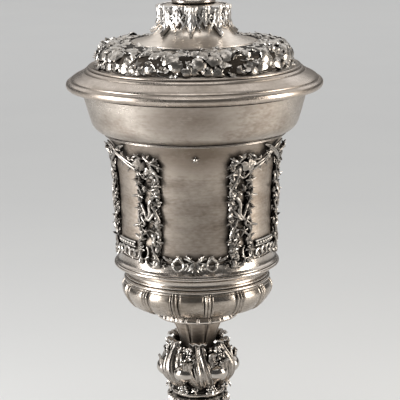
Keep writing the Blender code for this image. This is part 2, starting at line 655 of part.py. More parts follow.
def garland_mesh():
    """Angular twigs along a wide panel's foot: a rod and a diamond each side of a thorny cross."""
    low = BARREL_LOW + 0.5 * TRUNK_RADIUS
    run = WIDE_HALF / 28.5

    def lie(stations, radius, rise, closed=False):
        """A twig through (angle, height) stations, counted in rises over the panel's foot."""
        return skin_tube([(run * angle, low + GARLAND_RISE * up) for angle, up in stations], radius, 5, closed, rise)

    parts = [lie(((-8.4, -0.05), (0.9, 0.12), (8.1, -0.1)), 1.2 * TWIG_RADIUS, 0.2 * TWIG_RADIUS)]
    for hand in (-1.0, 1.0):
        parts.append(lie(((hand * 21.5, 0.95), (hand * 18.0, 0.45), (hand * 14.4, 0.12)), 1.25 * TWIG_RADIUS, 0.0))
        parts.append(lie(((hand * 15.0, 0.05), (hand * 11.0, 1.0), (hand * 7.6, -0.15), (hand * 11.6, -0.9)),
                         TWIG_RADIUS, 0.5 * TWIG_RADIUS, True))
        parts.append(lie(((hand * 5.5, 1.25), (-hand * (4.4 + 0.6 * hand), -0.85)), (1.4 + 0.15 * hand) * TWIG_RADIUS,
                         (0.5 + 0.3 * hand) * TWIG_RADIUS))
    return fused_mesh("twig_garland", parts)


def stud_mesh():
    """A small domed stud at the head of a wide panel."""
    height = BARREL_LOW + 0.885 * BARREL_HEIGHT
    points = [on_skin(0.0, height, SEAM + STUD_RADIUS * lift) for lift in (0.0, 0.5, 0.9)]
    body = bmesh.new()
    forward = (points[-1] - points[0]).normalized()
    across = Vector((1.0, 0.0, 0.0))
    up = forward.cross(across)
    rings = []
    for point, share in zip(points, (1.0, 0.9, 0.45)):
        rings.append([body.verts.new(point + (across * math.cos(math.tau * side / 8)
                                              + up * math.sin(math.tau * side / 8)) * STUD_RADIUS * share)
                      for side in range(8)])
    for ring, following in zip(rings, rings[1:]):
        for side in range(8):
            body.faces.new((ring[side], ring[(side + 1) % 8], following[(side + 1) % 8], following[side]))
    body.faces.new(rings[0])
    body.faces.new(rings[-1])
    return mesh_from("panel_stud", body)


def cone_wall():
    """The lid's drum, its rim and the trumpet that rises to the neck, as heights that only rise."""
    edge_height = 0.373 * CONE_HEIGHT
    drum = [(DRUM_RADIUS, CONE_LOW), (DRUM_RADIUS - 0.08 * WREATH_WIDTH, CONE_LOW + 0.21 * CONE_HEIGHT),
            (DRUM_RADIUS - 0.21 * WREATH_WIDTH, CONE_LOW + 0.276 * CONE_HEIGHT),
            (CONE_EDGE_RADIUS + 0.06 * WREATH_WIDTH, CONE_LOW + 0.322 * CONE_HEIGHT),
            (CONE_EDGE_RADIUS, CONE_LOW + edge_height)]
    spread = CONE_EDGE_RADIUS - CONE_TOP_RADIUS
    rises = [share * CONE_HEIGHT for share in (0.035, 0.09, 0.18, 0.38)]
    trumpet = [(CONE_TOP_RADIUS + spread * math.exp(-rise / CONE_FALL), CONE_LOW + edge_height + rise)
               for rise in rises]
    return drum, trumpet


def build_lid(satin, cast, bright):
    """The moulded rim, the bezel that finds the mouth, the cone, the leaf wreath and the collar."""
    low = LID_LOW
    rise = LID_RIM_HEIGHT
    seat_outer = LIP_RADIUS + WIRE + LID_SEAT_GAP
    seat_inner = LIP_RADIUS - WALL - BEZEL_SEAT
    land = DRUM_RADIUS - 2 * WALL
    turned("lid_rim", [(seat_inner, low), (seat_outer, low), (seat_outer + 0.5 * LID_DROP, low - LID_DROP),
                       (LID_RADIUS - 0.9 * LID_DROP, low - LID_DROP), (LID_RADIUS, low + 0.1 * rise),
                       (LID_RADIUS, low + 0.26 * rise), (LID_RADIUS - 0.15 * LEDGE_STEP, low + 0.37 * rise),
                       (LID_RADIUS - 0.5 * LEDGE_STEP, low + 0.65 * rise), (LEDGE_RADIUS, low + rise),
                       (land, low + rise), (land, low + rise - WALL), (seat_inner, low + 0.6 * rise)], bright)
    hollow = lip_hollow()[::-1]
    top = low - SEAM
    outer_low = along(hollow, top - BEZEL_DEPTH) - LID_FIT
    outer_high = along(hollow, top) - LID_FIT
    turned("lid_bezel", [(outer_low - WALL, top - BEZEL_DEPTH), (outer_low, top - BEZEL_DEPTH),
                         (outer_high, top), (outer_high - WALL, top)], satin)
    build_cone(satin)
    build_wreath(cast)
    build_collar(cast)


def build_cone(satin):
    """The lid's raised middle, hollow below, with the plate that the finial is screwed to."""
    drum, trumpet = cone_wall()
    top = CONE_LOW + CONE_HEIGHT
    under = [(CONE_TOP_RADIUS - WALL, top - SHOULDER), (CONE_TOP_RADIUS - WALL, trumpet[3][1]),
             (trumpet[2][0] - WALL, trumpet[2][1] - 0.5 * WALL), (trumpet[1][0] - 0.5 * WALL, trumpet[1][1] - WALL),
             (drum[3][0] - WALL, drum[3][1] - WALL), (drum[2][0] - 0.5 * WALL, drum[2][1] - WALL),
             (drum[0][0] - WALL, CONE_LOW)]
    turned("lid_cone", [*drum, *trumpet, (CONE_TOP_RADIUS, top - 0.06 * CONE_HEIGHT),
                        (1.03 * FINIAL_RADIUS, top), (BORE, top), (BORE, top - SHOULDER), *under], satin)


def build_wreath(cast):
    """The cast ring of overlapping leaves that lies on the lid's drum."""
    drum, _ = cone_wall()
    depth = WREATH_DEPTH
    back = [(drum[0][0] + SEAM, drum[0][1] + SEAM), (drum[1][0] + SEAM, drum[1][1]),
            (drum[2][0] + SEAM, drum[2][1] + 1.3 * SEAM), (drum[3][0] + SEAM, drum[3][1] + 1.3 * SEAM)]
    front = [(back[3][0], back[3][1] + 0.6 * depth),
             (0.5 * (back[3][0] + back[2][0]), back[3][1] + depth),
             (back[2][0] + 0.6 * depth, back[2][1] + 0.9 * depth), (back[0][0] + depth, back[0][1] + 1.4 * depth)]
    turned("leaf_wreath", [*back, *front], cast, even_angles(2 * WREATH_LEAVES),
           leaf_relief(WREATH_LEAVES, 0.28 * depth, (5, 6, 7)))


def build_collar(cast):
    """Spear leaves that hang round the cone's neck, long and short in turn, folded over at the top."""
    drum, trumpet = cone_wall()
    wall = [*trumpet, (CONE_TOP_RADIUS, CONE_LOW + CONE_HEIGHT)]
    top = CONE_LOW + 0.933 * CONE_HEIGHT
    lengths = (1.0, 0.69, 0.31, 0.6, 0.31, 0.69)
    body = bmesh.new()
    columns = []
    for count in range(6 * COLLAR_LEAVES):
        length = COLLAR_LENGTH * lengths[count % 6]
        heights = [top - length, top - 0.5 * length]
        backs = [(along(wall, height) + SEAM, height) for height in heights]
        backs[0] = (backs[0][0], backs[0][1] + SEAM)
        fold = [(CONE_TOP_RADIUS + SEAM, top), (CONE_TOP_RADIUS + 3.0 * COLLAR_DEPTH, top - 0.4 * COLLAR_DEPTH)]
        fronts = [(radius + COLLAR_DEPTH, height + 0.3 * COLLAR_DEPTH) for radius, height in reversed(backs[:2])]
        fronts.insert(0, (CONE_TOP_RADIUS + 1.6 * COLLAR_DEPTH, top - 2.4 * COLLAR_DEPTH))
        angle = 360.0 * count / (6 * COLLAR_LEAVES)
        columns.append([body.verts.new(place(angle, *point)) for point in (*backs, *fold, *fronts)])
    for count, column in enumerate(columns):
        after = columns[(count + 1) % len(columns)]
        for row in range(len(column)):
            above = (row + 1) % len(column)
            body.faces.new((column[row], after[row], after[above], column[above]))
    add_object("calyx_collar", mesh_from("calyx_collar", body), cast)


def build_finial(satin, cast, bright):
    """The finial's turned neck, its leaf cup and the bud."""
    top = FINIAL_LOW + FINIAL_NECK_HEIGHT
    waist = FINIAL_WAIST
    turned("finial_neck", [(BORE, FINIAL_LOW), (0.94 * FINIAL_RADIUS, FINIAL_LOW),
                           (FINIAL_RADIUS, FINIAL_LOW + 0.12 * FINIAL_NECK_HEIGHT),
                           (0.93 * FINIAL_RADIUS, FINIAL_LOW + 0.25 * FINIAL_NECK_HEIGHT),
                           (waist, FINIAL_LOW + 0.5 * FINIAL_NECK_HEIGHT),
                           (1.15 * waist, FINIAL_LOW + 0.85 * FINIAL_NECK_HEIGHT), (1.28 * waist, top),
                           (BORE, top)], bright, even_angles(SMALL_RING))
    cup_top = CALYX_LOW + FINIAL_CALYX_HEIGHT
    pitch = 360.0 / FINIAL_LEAVES

    def tips(angle, row):
        """Leaf tips that stand out from the cup's edge."""
        away = abs((angle + pitch / 2) % pitch - pitch / 2) / (pitch / 2)
        return 0.17 * BUD_RADIUS * (1.0 - away) if row in (3, 4) else 0.0

    turned("finial_calyx", [(BORE, CALYX_LOW), (1.2 * waist, CALYX_LOW),
                            (0.84 * BUD_RADIUS, CALYX_LOW + 0.35 * FINIAL_CALYX_HEIGHT),
                            (1.08 * BUD_RADIUS, CALYX_LOW + 0.8 * FINIAL_CALYX_HEIGHT),
                            (1.08 * BUD_RADIUS, cup_top), (BORE, cup_top)], cast, even_angles(SMALL_RING), tips)
    bore_top = BUD_LOW + 0.35 * BUD_HEIGHT
    bud = [(0.0, bore_top), (BORE, bore_top), (BORE, BUD_LOW)]
    bud += [(BUD_RADIUS * math.sin(math.radians(turn))**0.8, BUD_LOW + BUD_HEIGHT * (1 - math.cos(math.radians(turn))) / 2)
            for turn in (40, 62, 84, 106, 128, 150)]
    bud[3] = (bud[3][0], BUD_LOW)
    berry = 180.0 / 8
    turned("finial_bud", [*bud, (0.0, BUD_LOW + BUD_HEIGHT)], cast, even_angles(16),
           lambda angle, row: BERRY_RISE * (2 * ((round(angle / berry) + row) % 2) - 1) if 3 <= row <= 6 else 0.0)


def rod_with_nut(names, rod_low, plate_low, head, material):
    """A rod drawn up by a nut and washer under a plate, with its head as (radius, height) points."""
    washer_low = plate_low - SEAM - WASHER_HEIGHT
    nut_low = washer_low - SEAM - NUT_HEIGHT
    pins = even_angles(PIN_RING)
    turned(names[0], [(0.0, rod_low), (ROD_RADIUS, rod_low), *head], material, pins)
    turned(names[1], [(BORE, washer_low), (WASHER_RADIUS, washer_low), (WASHER_RADIUS, washer_low + WASHER_HEIGHT),
                      (BORE, washer_low + WASHER_HEIGHT)], material, pins)
    nut_bore = BORE + 0.6 * SEAM
    turned(names[2], [(nut_bore, nut_low), (NUT_RADIUS, nut_low), (NUT_RADIUS, nut_low + NUT_HEIGHT),
                      (nut_bore, nut_low + NUT_HEIGHT)], material, even_angles(6))


def build_rods(steel):
    """The rod through the stem and the rod through the finial, each with its washer and nut."""
    head_low = BULGE_LOW + WALL + SEAM
    head_top = head_low + ROD_HEAD_HEIGHT
    stem_plate = STEM_LOW - SEAM - SHOULDER
    reach = WASHER_HEIGHT + NUT_HEIGHT + ROD_TAIL
    rod_with_nut(("stem_rod", "stem_washer", "stem_nut"), stem_plate - reach, stem_plate,
                 [(ROD_RADIUS, head_low), (ROD_HEAD_RADIUS, head_low), (ROD_HEAD_RADIUS, head_top), (0.0, head_top)],
                 steel)
    lid_plate = FINIAL_LOW - SEAM - SHOULDER
    rod_top = BUD_LOW + 0.35 * BUD_HEIGHT - SEAM
    rod_with_nut(("finial_rod", "finial_washer", "finial_nut"), lid_plate - reach, lid_plate,
                 [(ROD_RADIUS, rod_top), (0.0, rod_top)], steel)


def build_cup():
    """Builds every piece of the cup and its lid."""
    clear_scene()
    satin = finish("satin_silver", (0.52, 0.48, 0.44), 0.34)
    bright = finish("bright_silver", (0.62, 0.58, 0.53), 0.24)
    cast = finish("cast_silver", (0.40, 0.37, 0.34), 0.42)
    steel = finish("rod_steel", (0.35, 0.34, 0.33), 0.45)
    build_foot(satin, cast, bright)
    build_stem(satin, cast, bright)
    build_knop_ornament(cast)
    build_bowl(satin, bright)
    build_branches(cast)
    build_lid(satin, cast, bright)
    build_finial(satin, cast, bright)
    build_rods(steel)


build_cup()
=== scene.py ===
"""The looks of a lidded presentation cup in silver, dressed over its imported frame.

Metres, +Z up. The front looks along -Y, and angles are in degrees from the front towards +X.
Ornament for the walls is first drawn flat, as (run along the wall, height, lift off the wall), and
is then bent round them.
"""

import json
import logging
import math
from dataclasses import dataclass, field
from enum import Enum
from typing import Callable, ClassVar, Iterable, NamedTuple, Sequence

import bmesh
import bpy
import numpy as np
from mathutils import Matrix, Vector

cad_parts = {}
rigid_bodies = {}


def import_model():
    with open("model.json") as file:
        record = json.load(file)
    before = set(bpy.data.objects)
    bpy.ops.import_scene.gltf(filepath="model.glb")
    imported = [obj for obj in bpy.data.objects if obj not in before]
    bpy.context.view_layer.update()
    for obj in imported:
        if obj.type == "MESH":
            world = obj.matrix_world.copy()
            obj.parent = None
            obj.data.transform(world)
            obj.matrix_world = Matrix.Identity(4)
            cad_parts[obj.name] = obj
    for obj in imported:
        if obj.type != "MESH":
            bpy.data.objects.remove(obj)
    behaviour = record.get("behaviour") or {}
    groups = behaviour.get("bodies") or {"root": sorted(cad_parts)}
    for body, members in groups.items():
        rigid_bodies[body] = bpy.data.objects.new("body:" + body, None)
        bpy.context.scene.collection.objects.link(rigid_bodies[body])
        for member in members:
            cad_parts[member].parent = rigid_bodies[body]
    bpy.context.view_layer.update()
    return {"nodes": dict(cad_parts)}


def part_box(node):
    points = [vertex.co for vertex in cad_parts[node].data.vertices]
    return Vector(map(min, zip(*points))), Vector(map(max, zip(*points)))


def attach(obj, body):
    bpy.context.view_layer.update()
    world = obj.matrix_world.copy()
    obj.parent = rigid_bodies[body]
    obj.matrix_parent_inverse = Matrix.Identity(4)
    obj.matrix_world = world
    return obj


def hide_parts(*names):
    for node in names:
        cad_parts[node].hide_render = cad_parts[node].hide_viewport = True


for leftover in list(bpy.data.objects):
    bpy.data.objects.remove(leftover, do_unlink=True)
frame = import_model()

LOG = logging.getLogger("cup")
MM = 0.001
CREASE = 38.0
UP = np.array([0.0, 0.0, 1.0])
UPRIGHT = np.eye(3)
HANDS = (-1, 1)
Colour = tuple[float, float, float]
Pair = tuple[float, float]
Triple = tuple[float, float, float]
Values = np.ndarray | float


class Slot(Enum):
    """The finishes that the record names."""

    SATIN = "satin_silver"
    BRIGHT = "bright_silver"
    CAST = "cast_silver"
    STEEL = "rod_steel"


class Rider(Enum):
    """The two bodies that pieces ride on."""

    CUP = "cup"
    LID = "lid"


class Wall(NamedTuple):
    """A turned section's points, as angles, radii and heights that broadcast together."""

    turn: np.ndarray
    radii: np.ndarray
    heights: np.ndarray


Relief = Callable[[Wall], np.ndarray]


def around(angles: Values, radii: Values, heights: Values) -> np.ndarray:
    """Points from cylindrical sizes.

    Args:
        angles: Degrees from the front.
        radii: Distances from the axis.
        heights: Levels.

    Returns:
        Points of shape (..., 3).
    """
    turn = np.radians(angles)
    parts = np.broadcast_arrays(radii * np.sin(turn), -radii * np.cos(turn), heights)
    return np.stack(parts, axis=-1)


def flowing(knots: Sequence[Sequence[float]], per_span: int = 8, closed: bool = False) -> np.ndarray:
    """A smooth curve through knots.

    Args:
        knots: Points in two or three dimensions.
        per_span: Steps between two knots.
        closed: Whether the curve runs back to its start.

    Returns:
        The curve's points, both ends included unless it is closed.
    """
    given = np.asarray(knots, float)
    if closed:
        padded = np.vstack([given[-1:], given, given[:2]])
    else:
        padded = np.vstack([2 * given[0] - given[1], given, 2 * given[-1] - given[-2]])
    steps = np.linspace(0, 1, per_span, endpoint=False)[:, None]
    runs = []
    for first, start, end, last in zip(padded, padded[1:], padded[2:], padded[3:]):
        bend = 2 * first - 5 * start + 4 * end - last
        twist = 3 * (start - end) + last - first
        runs.append(start + 0.5 * steps * ((end - first) + steps * (bend + steps * twist)))
    curve = np.vstack(runs)
    return curve if closed else np.vstack([curve, given[-1:]])


@dataclass
class Outline:
    """A turned piece's section, gathered point by point.

    A point is (out, up): its radius is the base and out times the unit, and its height is the foot and
    up times the rise.
    """

    base: float = 0.0
    foot: float = 0.0
    rise: float = MM
    unit: float = MM
    points: list[Pair] = field(default_factory=list)

    def place(self, out: float, up: float) -> Pair:
        """A point's radius and height."""
        return self.base + out * self.unit, self.foot + up * self.rise

    def at(self, *places: Pair) -> "Outline":
        """Goes straight to radii and heights in metres."""
        self.points.extend(map(tuple, places))
        return self

    def to(self, *points: Pair) -> "Outline":
        """Goes straight to each point in turn."""
        return self.at(*(self.place(*point) for point in points))

    def curve_at(self, *places: Pair, per_span: int = 6) -> "Outline":
        """Flows smoothly through radii and heights in metres."""
        return self.at(*flowing([self.points[-1], *places], per_span)[1:])

    def curve(self, *points: Pair, per_span: int = 6) -> "Outline":
        """Flows smoothly through points, with per_span steps between each two."""
        return self.curve_at(*(self.place(*point) for point in points), per_span=per_span)

    def bead(self, out: float, up: float, bulge: float = 1.0, steps: int = 10) -> "Outline":
        """Goes to a point along an arc.

        Args:
            out: How far out the end point lies.
            up: How far up it lies.
            bulge: The arc's rise over half its chord, to the right of the way: 1 is a half circle.
            steps: Steps along the arc.

        Returns:
            This outline.
        """
        start, end = np.array(self.points[-1]), np.array(self.place(out, up))
        middle, half = 0.5 * (start + end), 0.5 * (end - start)
        right = np.array([half[1], -half[0]])
        sweep = 4.0 * math.atan(abs(bulge))
        reach = 1.0 / math.sin(0.5 * sweep)
        centre = middle - math.copysign(1, bulge) * right * reach * math.cos(0.5 * sweep)
        across, away = half * reach, math.copysign(1, bulge) * right * reach
        for step in range(1, steps + 1):
            turn = sweep * (step / steps - 0.5)
            self.at(centre + across * math.sin(turn) + away * math.cos(turn))
        return self


@dataclass(frozen=True)
class Span:
    """Where a turned node lies: its radius at the front, and its lowest and highest level."""

    radius: float
    low: float
    high: float

    @classmethod
    def of(cls, node: str) -> "Span":
        """Measures a node of the frame."""
        low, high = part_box(node)
        return cls(-low.y, low.z, high.z)

    @property
    def height(self) -> float:
        """The node's height."""
        return self.high - self.low

    def level(self, share: float) -> float:
        """The level at a share of the height."""
        return self.low + share * self.height

    def outline(self, base: float | None = None, unit: float = MM) -> Outline:
        """An outline with heights as shares of the span's, and its radius as the base unless one is given."""
        return Outline(self.radius if base is None else base, self.low, self.height, unit)


def spanned(node: str) -> Span:
    """A dataclass field that measures a node."""
    return field(default_factory=lambda: Span.of(node))


class Shape:
    """Points and faces that are gathered into one mesh."""

    def __init__(self) -> None:
        """Starts empty."""
        self.points: list[np.ndarray] = []
        self.quads: list[np.ndarray] = []
        self.caps: list[list[int]] = []
        self.count = 0

    def grid(self, points: np.ndarray, wrap_rows: bool = False, wrap_columns: bool = True,
             caps: bool = False) -> None:
        """Adds a grid of points as quads.

        Args:
            points: Rows by columns by three.
            wrap_rows: Whether the last row joins the first.
            wrap_columns: Whether the last column joins the first.
            caps: Whether the first and the last row are closed with a face each.
        """
        rows, columns = points.shape[:2]
        index = np.arange(rows * columns).reshape(rows, columns) + self.count
        if wrap_rows:
            index = np.vstack([index, index[:1]])
        if caps:
            self.caps.extend([index[0].tolist(), index[-1].tolist()])
        if wrap_columns:
            index = np.hstack([index, index[:, :1]])
        quads = np.stack([index[:-1, :-1], index[:-1, 1:], index[1:, 1:], index[1:, :-1]], axis=-1)
        self.points.append(points.reshape(-1, 3))
        self.quads.append(quads.reshape(-1, 4))
        self.count += rows * columns

    def slab(self, front: np.ndarray, back: np.ndarray) -> None:
        """Adds a closed sheet between a front and a back grid of the same shape.

        Args:
            front: Rows by columns by three.
            back: The same, behind it.
        """
        rows, columns = front.shape[:2]
        start = self.count
        self.grid(np.concatenate([front, back[:, ::-1]], axis=1))
        for row in (0, rows - 1):
            first = start + row * 2 * columns
            last = first + 2 * columns - 1
            strip = [(first + side, first + side + 1, last - side - 1, last - side)
                     for side in range(columns - 1)]
            self.quads.append(np.array(strip))

    def copies(self, other: "Shape", turns: Sequence[float]) -> None:
        """Adds another shape at several angles about the axis.

        Args:
            other: The shape to copy.
            turns: The angles, in degrees.
        """
        points = np.vstack(other.points)
        for turn in turns:
            cosine, sine = math.cos(math.radians(turn)), math.sin(math.radians(turn))
            spin = np.array([[cosine, sine, 0.0], [-sine, cosine, 0.0], [0.0, 0.0, 1.0]])
            self.points.append(points @ spin)
            self.quads.extend(quads + self.count for quads in other.quads)
            self.caps.extend([corner + self.count for corner in cap] for cap in other.caps)
            self.count += len(points)

    def mesh(self, name: str) -> bpy.types.Mesh:
        """Makes the mesh, with its faces pointing out.

        Args:
            name: The mesh's name.

        Returns:
            The mesh.
        """
        mesh = bpy.data.meshes.new(name)
        faces = np.vstack(self.quads).tolist() + self.caps
        mesh.from_pydata(np.vstack(self.points).tolist(), [], faces)
        body = bmesh.new()
        body.from_mesh(mesh)
        bmesh.ops.recalc_face_normals(body, faces=body.faces)
        body.to_mesh(mesh)
        body.free()
        mesh.shade_smooth()
        mesh.set_sharp_from_angle(angle=math.radians(CREASE))
        return mesh


def even(count: int) -> np.ndarray:
    """Angles that share a turn evenly."""
    return np.arange(count) * 360 / count


def mirrored(half: Sequence[float]) -> np.ndarray:
    """Offsets that rise from zero, after their mirror image."""
    return np.array([*(-step for step in half[:0:-1]), *half])


def turned(outline: Outline, angles: np.ndarray | int = 240, relief: Relief | None = None,
           solid: bool = False) -> Shape:
    """Carries an outline round the axis.

    Args:
        outline: The section.
        angles: The angles of the columns, in degrees, or how many share the turn evenly.
        relief: How far the wall's points move out.
        solid: Whether the outline's two ends lie by the axis and are capped, and not joined.

    Returns:
        The turned shape.
    """
    section = np.array(outline.points, float)
    columns = even(angles) if isinstance(angles, int) else angles
    wall = Wall(columns[None, :], section[:, :1], section[:, 1:])
    out = relief(wall) if relief else 0.0
    shape = Shape()
    shape.grid(around(wall.turn, wall.radii + out, wall.heights), wrap_rows=not solid, caps=solid)
    return shape


def bump(distance: np.ndarray, width: float) -> np.ndarray:
    """A soft bump that is 1 in the middle and fades over a width."""
    return np.exp(-(distance / width) ** 2)


def apart(angles: np.ndarray, first: float, pitch: float) -> np.ndarray:
    """How far angles lie from the nearest of those that repeat at a pitch, with their sign."""
    return (angles - first + 0.5 * pitch) % pitch - 0.5 * pitch


def tube(path: np.ndarray, radii: np.ndarray | float, out: np.ndarray, sides: int = 8, closed: bool = False,
         gnarl: float = 0.0, seed: float = 0.0) -> np.ndarray:
    """A tube's rings of points along a path, with round ends.

    Args:
        path: The middle line's points.
        radii: The radius at each point, or one for all.
        out: The direction that the rings start from, one or one per point.
        sides: Points round a ring.
        closed: Whether the path runs back to its start.
        gnarl: How uneven the bark is, as a share of the radius.
        seed: Where the unevenness starts.

    Returns:
        Rings by sides by three.
    """
    radii = np.broadcast_to(np.asarray(radii, float), (len(path),)).copy()
    out = np.broadcast_to(np.asarray(out, float), path.shape).copy()
    if closed:
        forward = np.roll(path, -1, axis=0) - np.roll(path, 1, axis=0)
    else:
        forward = np.gradient(path, axis=0)
    forward /= np.maximum(np.linalg.norm(forward, axis=1, keepdims=True), 1e-9)
    if not closed:
        ends = ((0, -1), (-1, 1))
        inner, outer = ([(path[end] + side * share * radii[end] * forward[end], shrink * radii[end])
                         for end, side in ends] for share, shrink in ((0.62, 0.8), (0.95, 0.3)))
        path = np.vstack([outer[0][0], inner[0][0], path, inner[1][0], outer[1][0]])
        radii = np.concatenate([[outer[0][1], inner[0][1]], radii, [inner[1][1], outer[1][1]]])
        out = np.vstack([out[:1], out[:1], out, out[-1:], out[-1:]])
        forward = np.vstack([forward[:1], forward[:1], forward, forward[-1:], forward[-1:]])
    across = np.cross(forward, out)
    across /= np.maximum(np.linalg.norm(across, axis=1, keepdims=True), 1e-9)
    lift = np.cross(across, forward)
    turn = np.arange(sides) * math.tau / sides
    steps = np.arange(len(path))[:, None]
    bark = 1.0 + gnarl * (np.sin(1.9 * steps + 2 * turn + seed)
                          + 0.6 * np.sin(0.8 * steps - 3 * turn + 2 * seed))
    ring = across[:, None] * np.cos(turn)[None, :, None] + lift[:, None] * np.sin(turn)[None, :, None]
    return path[:, None] + ring * (radii[:, None] * bark)[..., None]


def lump(centre: np.ndarray, sizes: Sequence[float], rows: int = 8, columns: int = 12,
         axes: np.ndarray = UPRIGHT) -> np.ndarray:
    """A rounded lump's rings of points.

    Args:
        centre: Its middle.
        sizes: Its half sizes along its three axes.
        rows: Rings.
        columns: Points round a ring.
        axes: The three axes as rows.

    Returns:
        Rings by columns by three.
    """
    polar = np.radians(np.linspace(4, 176, rows))[:, None]
    turn = (np.arange(columns) * math.tau / columns)[None, :]
    unit = np.stack(np.broadcast_arrays(np.sin(polar) * np.cos(turn), np.sin(polar) * np.sin(turn),
                                        np.cos(polar)), axis=-1)
    return centre + (unit * np.asarray(sizes)) @ axes


@dataclass(frozen=True)
class LeafForm:
    """A cast leaf of unit reach.

    Its lobes are (degrees from the tip, reach, spread), and each that stands aside has a mirror image.
    """

    lobes: tuple[Triple, ...]
    waist: float
    crown: float
    flutter: float
    vein: float = 0.07
    thickness: float = 0.12
    notch: float = 0.0
    rings: int = 5
    spokes: int = 34

    def points(self, chance: np.random.Generator) -> np.ndarray:
        """The leaf's closed skin, with its stem end down and its face towards +Z.

        Args:
            chance: Where each lobe's own lift comes from.

        Returns:
            Rings by spokes by three.
        """
        turn = even(self.spokes)
        reach = np.full(self.spokes, self.waist)
        lift = np.zeros(self.spokes)
        groove = np.zeros((self.rings, self.spokes))
        share = np.linspace(0.1, 1, self.rings)[:, None]
        for angle, length, spread in self.lobes:
            for side in (1, -1) if 0.0 < angle < 180.0 else (1,):
                away = apart(turn, side * angle, 360)
                reach = np.maximum(reach, self.waist + (length - self.waist) * bump(away, spread))
                lift += chance.uniform(-1, 1) * bump(away, 1.3 * spread)
                groove += bump(away[None, :] * share, 9)
        run = share * (reach * (1 - self.notch * bump(apart(turn, 180, 360), 20)))[None, :]
        face = (self.crown * (1 - share**2) + self.flutter * share**2 * lift[None, :]
                - self.vein * groove * np.sqrt(share))
        under = face - self.thickness * (1 - 0.5 * share**2)
        angle = np.radians(turn)[None, :]
        front = np.stack([run * np.sin(angle), run * np.cos(angle), face], axis=-1)
        back = np.stack([run * np.sin(angle), run * np.cos(angle), under], axis=-1)
        return np.concatenate([front, back[::-1]])


ROUND = LeafForm(((0, 1, 30), (64, 0.97, 26), (126, 0.92, 25)), waist=0.78, crown=0.36, flutter=0.15,
                 vein=0.09, thickness=0.2, notch=0.5)
CUPPED = LeafForm(((0, 1, 26), (58, 0.95, 22), (118, 0.88, 22)), waist=0.7, crown=-0.1, flutter=0.26,
                  vein=-0.13, thickness=0.22, notch=0.4)
IVY = LeafForm(((0, 1, 25), (66, 0.98, 24), (128, 0.9, 22)), waist=0.7, crown=0.2, flutter=0.2, vein=0.1,
               notch=0.5, spokes=38)
THORNY = LeafForm(((0, 1.25, 17), (75, 0.9, 17), (150, 0.75, 18)), waist=0.42, crown=0.18, flutter=0.34,
                  vein=-0.14, thickness=0.18, rings=4, spokes=30)
SPRAY = LeafForm(((0, 1.3, 17), (52, 0.8, 12), (180, 0.5, 30)), waist=0.26, crown=0.14, flutter=0.25,
                 rings=4, spokes=28)
BARK = LeafForm(((0, 1.5, 17), (105, 0.85, 20)), waist=0.38, crown=0.2, flutter=0.34, vein=-0.2,
                thickness=0.3, rings=4, spokes=24)


def tilted(spin: float, pitch: float, roll: float) -> np.ndarray:
    """Turns a piece in its own plane, then tips it.

    Args:
        spin: Degrees in the plane of the piece.
        pitch: Degrees that its tip rises.
        roll: Degrees about its length.

    Returns:
        A rotation for row vectors.
    """
    turned_by = (Matrix.Rotation(math.radians(spin), 3, "Z") @ Matrix.Rotation(math.radians(pitch), 3, "X")
                 @ Matrix.Rotation(math.radians(roll), 3, "Y"))
    return np.array(turned_by).T


@dataclass
class Skin:
    """A turned wall that flat ornament is laid on, as radii at rising heights."""

    heights: np.ndarray
    radii: np.ndarray
    base: float

    def lay(self, flat: np.ndarray, angle: float) -> np.ndarray:
        """Bends flat ornament round the wall.

        Args:
            flat: Points as (run, height, lift).
            angle: Where run 0 lies, in degrees from the front.

        Returns:
            Points in the cup's frame.
        """
        height, lift = flat[..., 1], flat[..., 2]
        slope = np.interp(height, self.heights, np.gradient(self.radii, self.heights))
        length = np.hypot(1, slope)
        radius = np.interp(height, self.heights, self.radii)
        return around(angle + np.degrees(flat[..., 0] / self.base), radius + lift / length,
                      height - lift * slope / length)


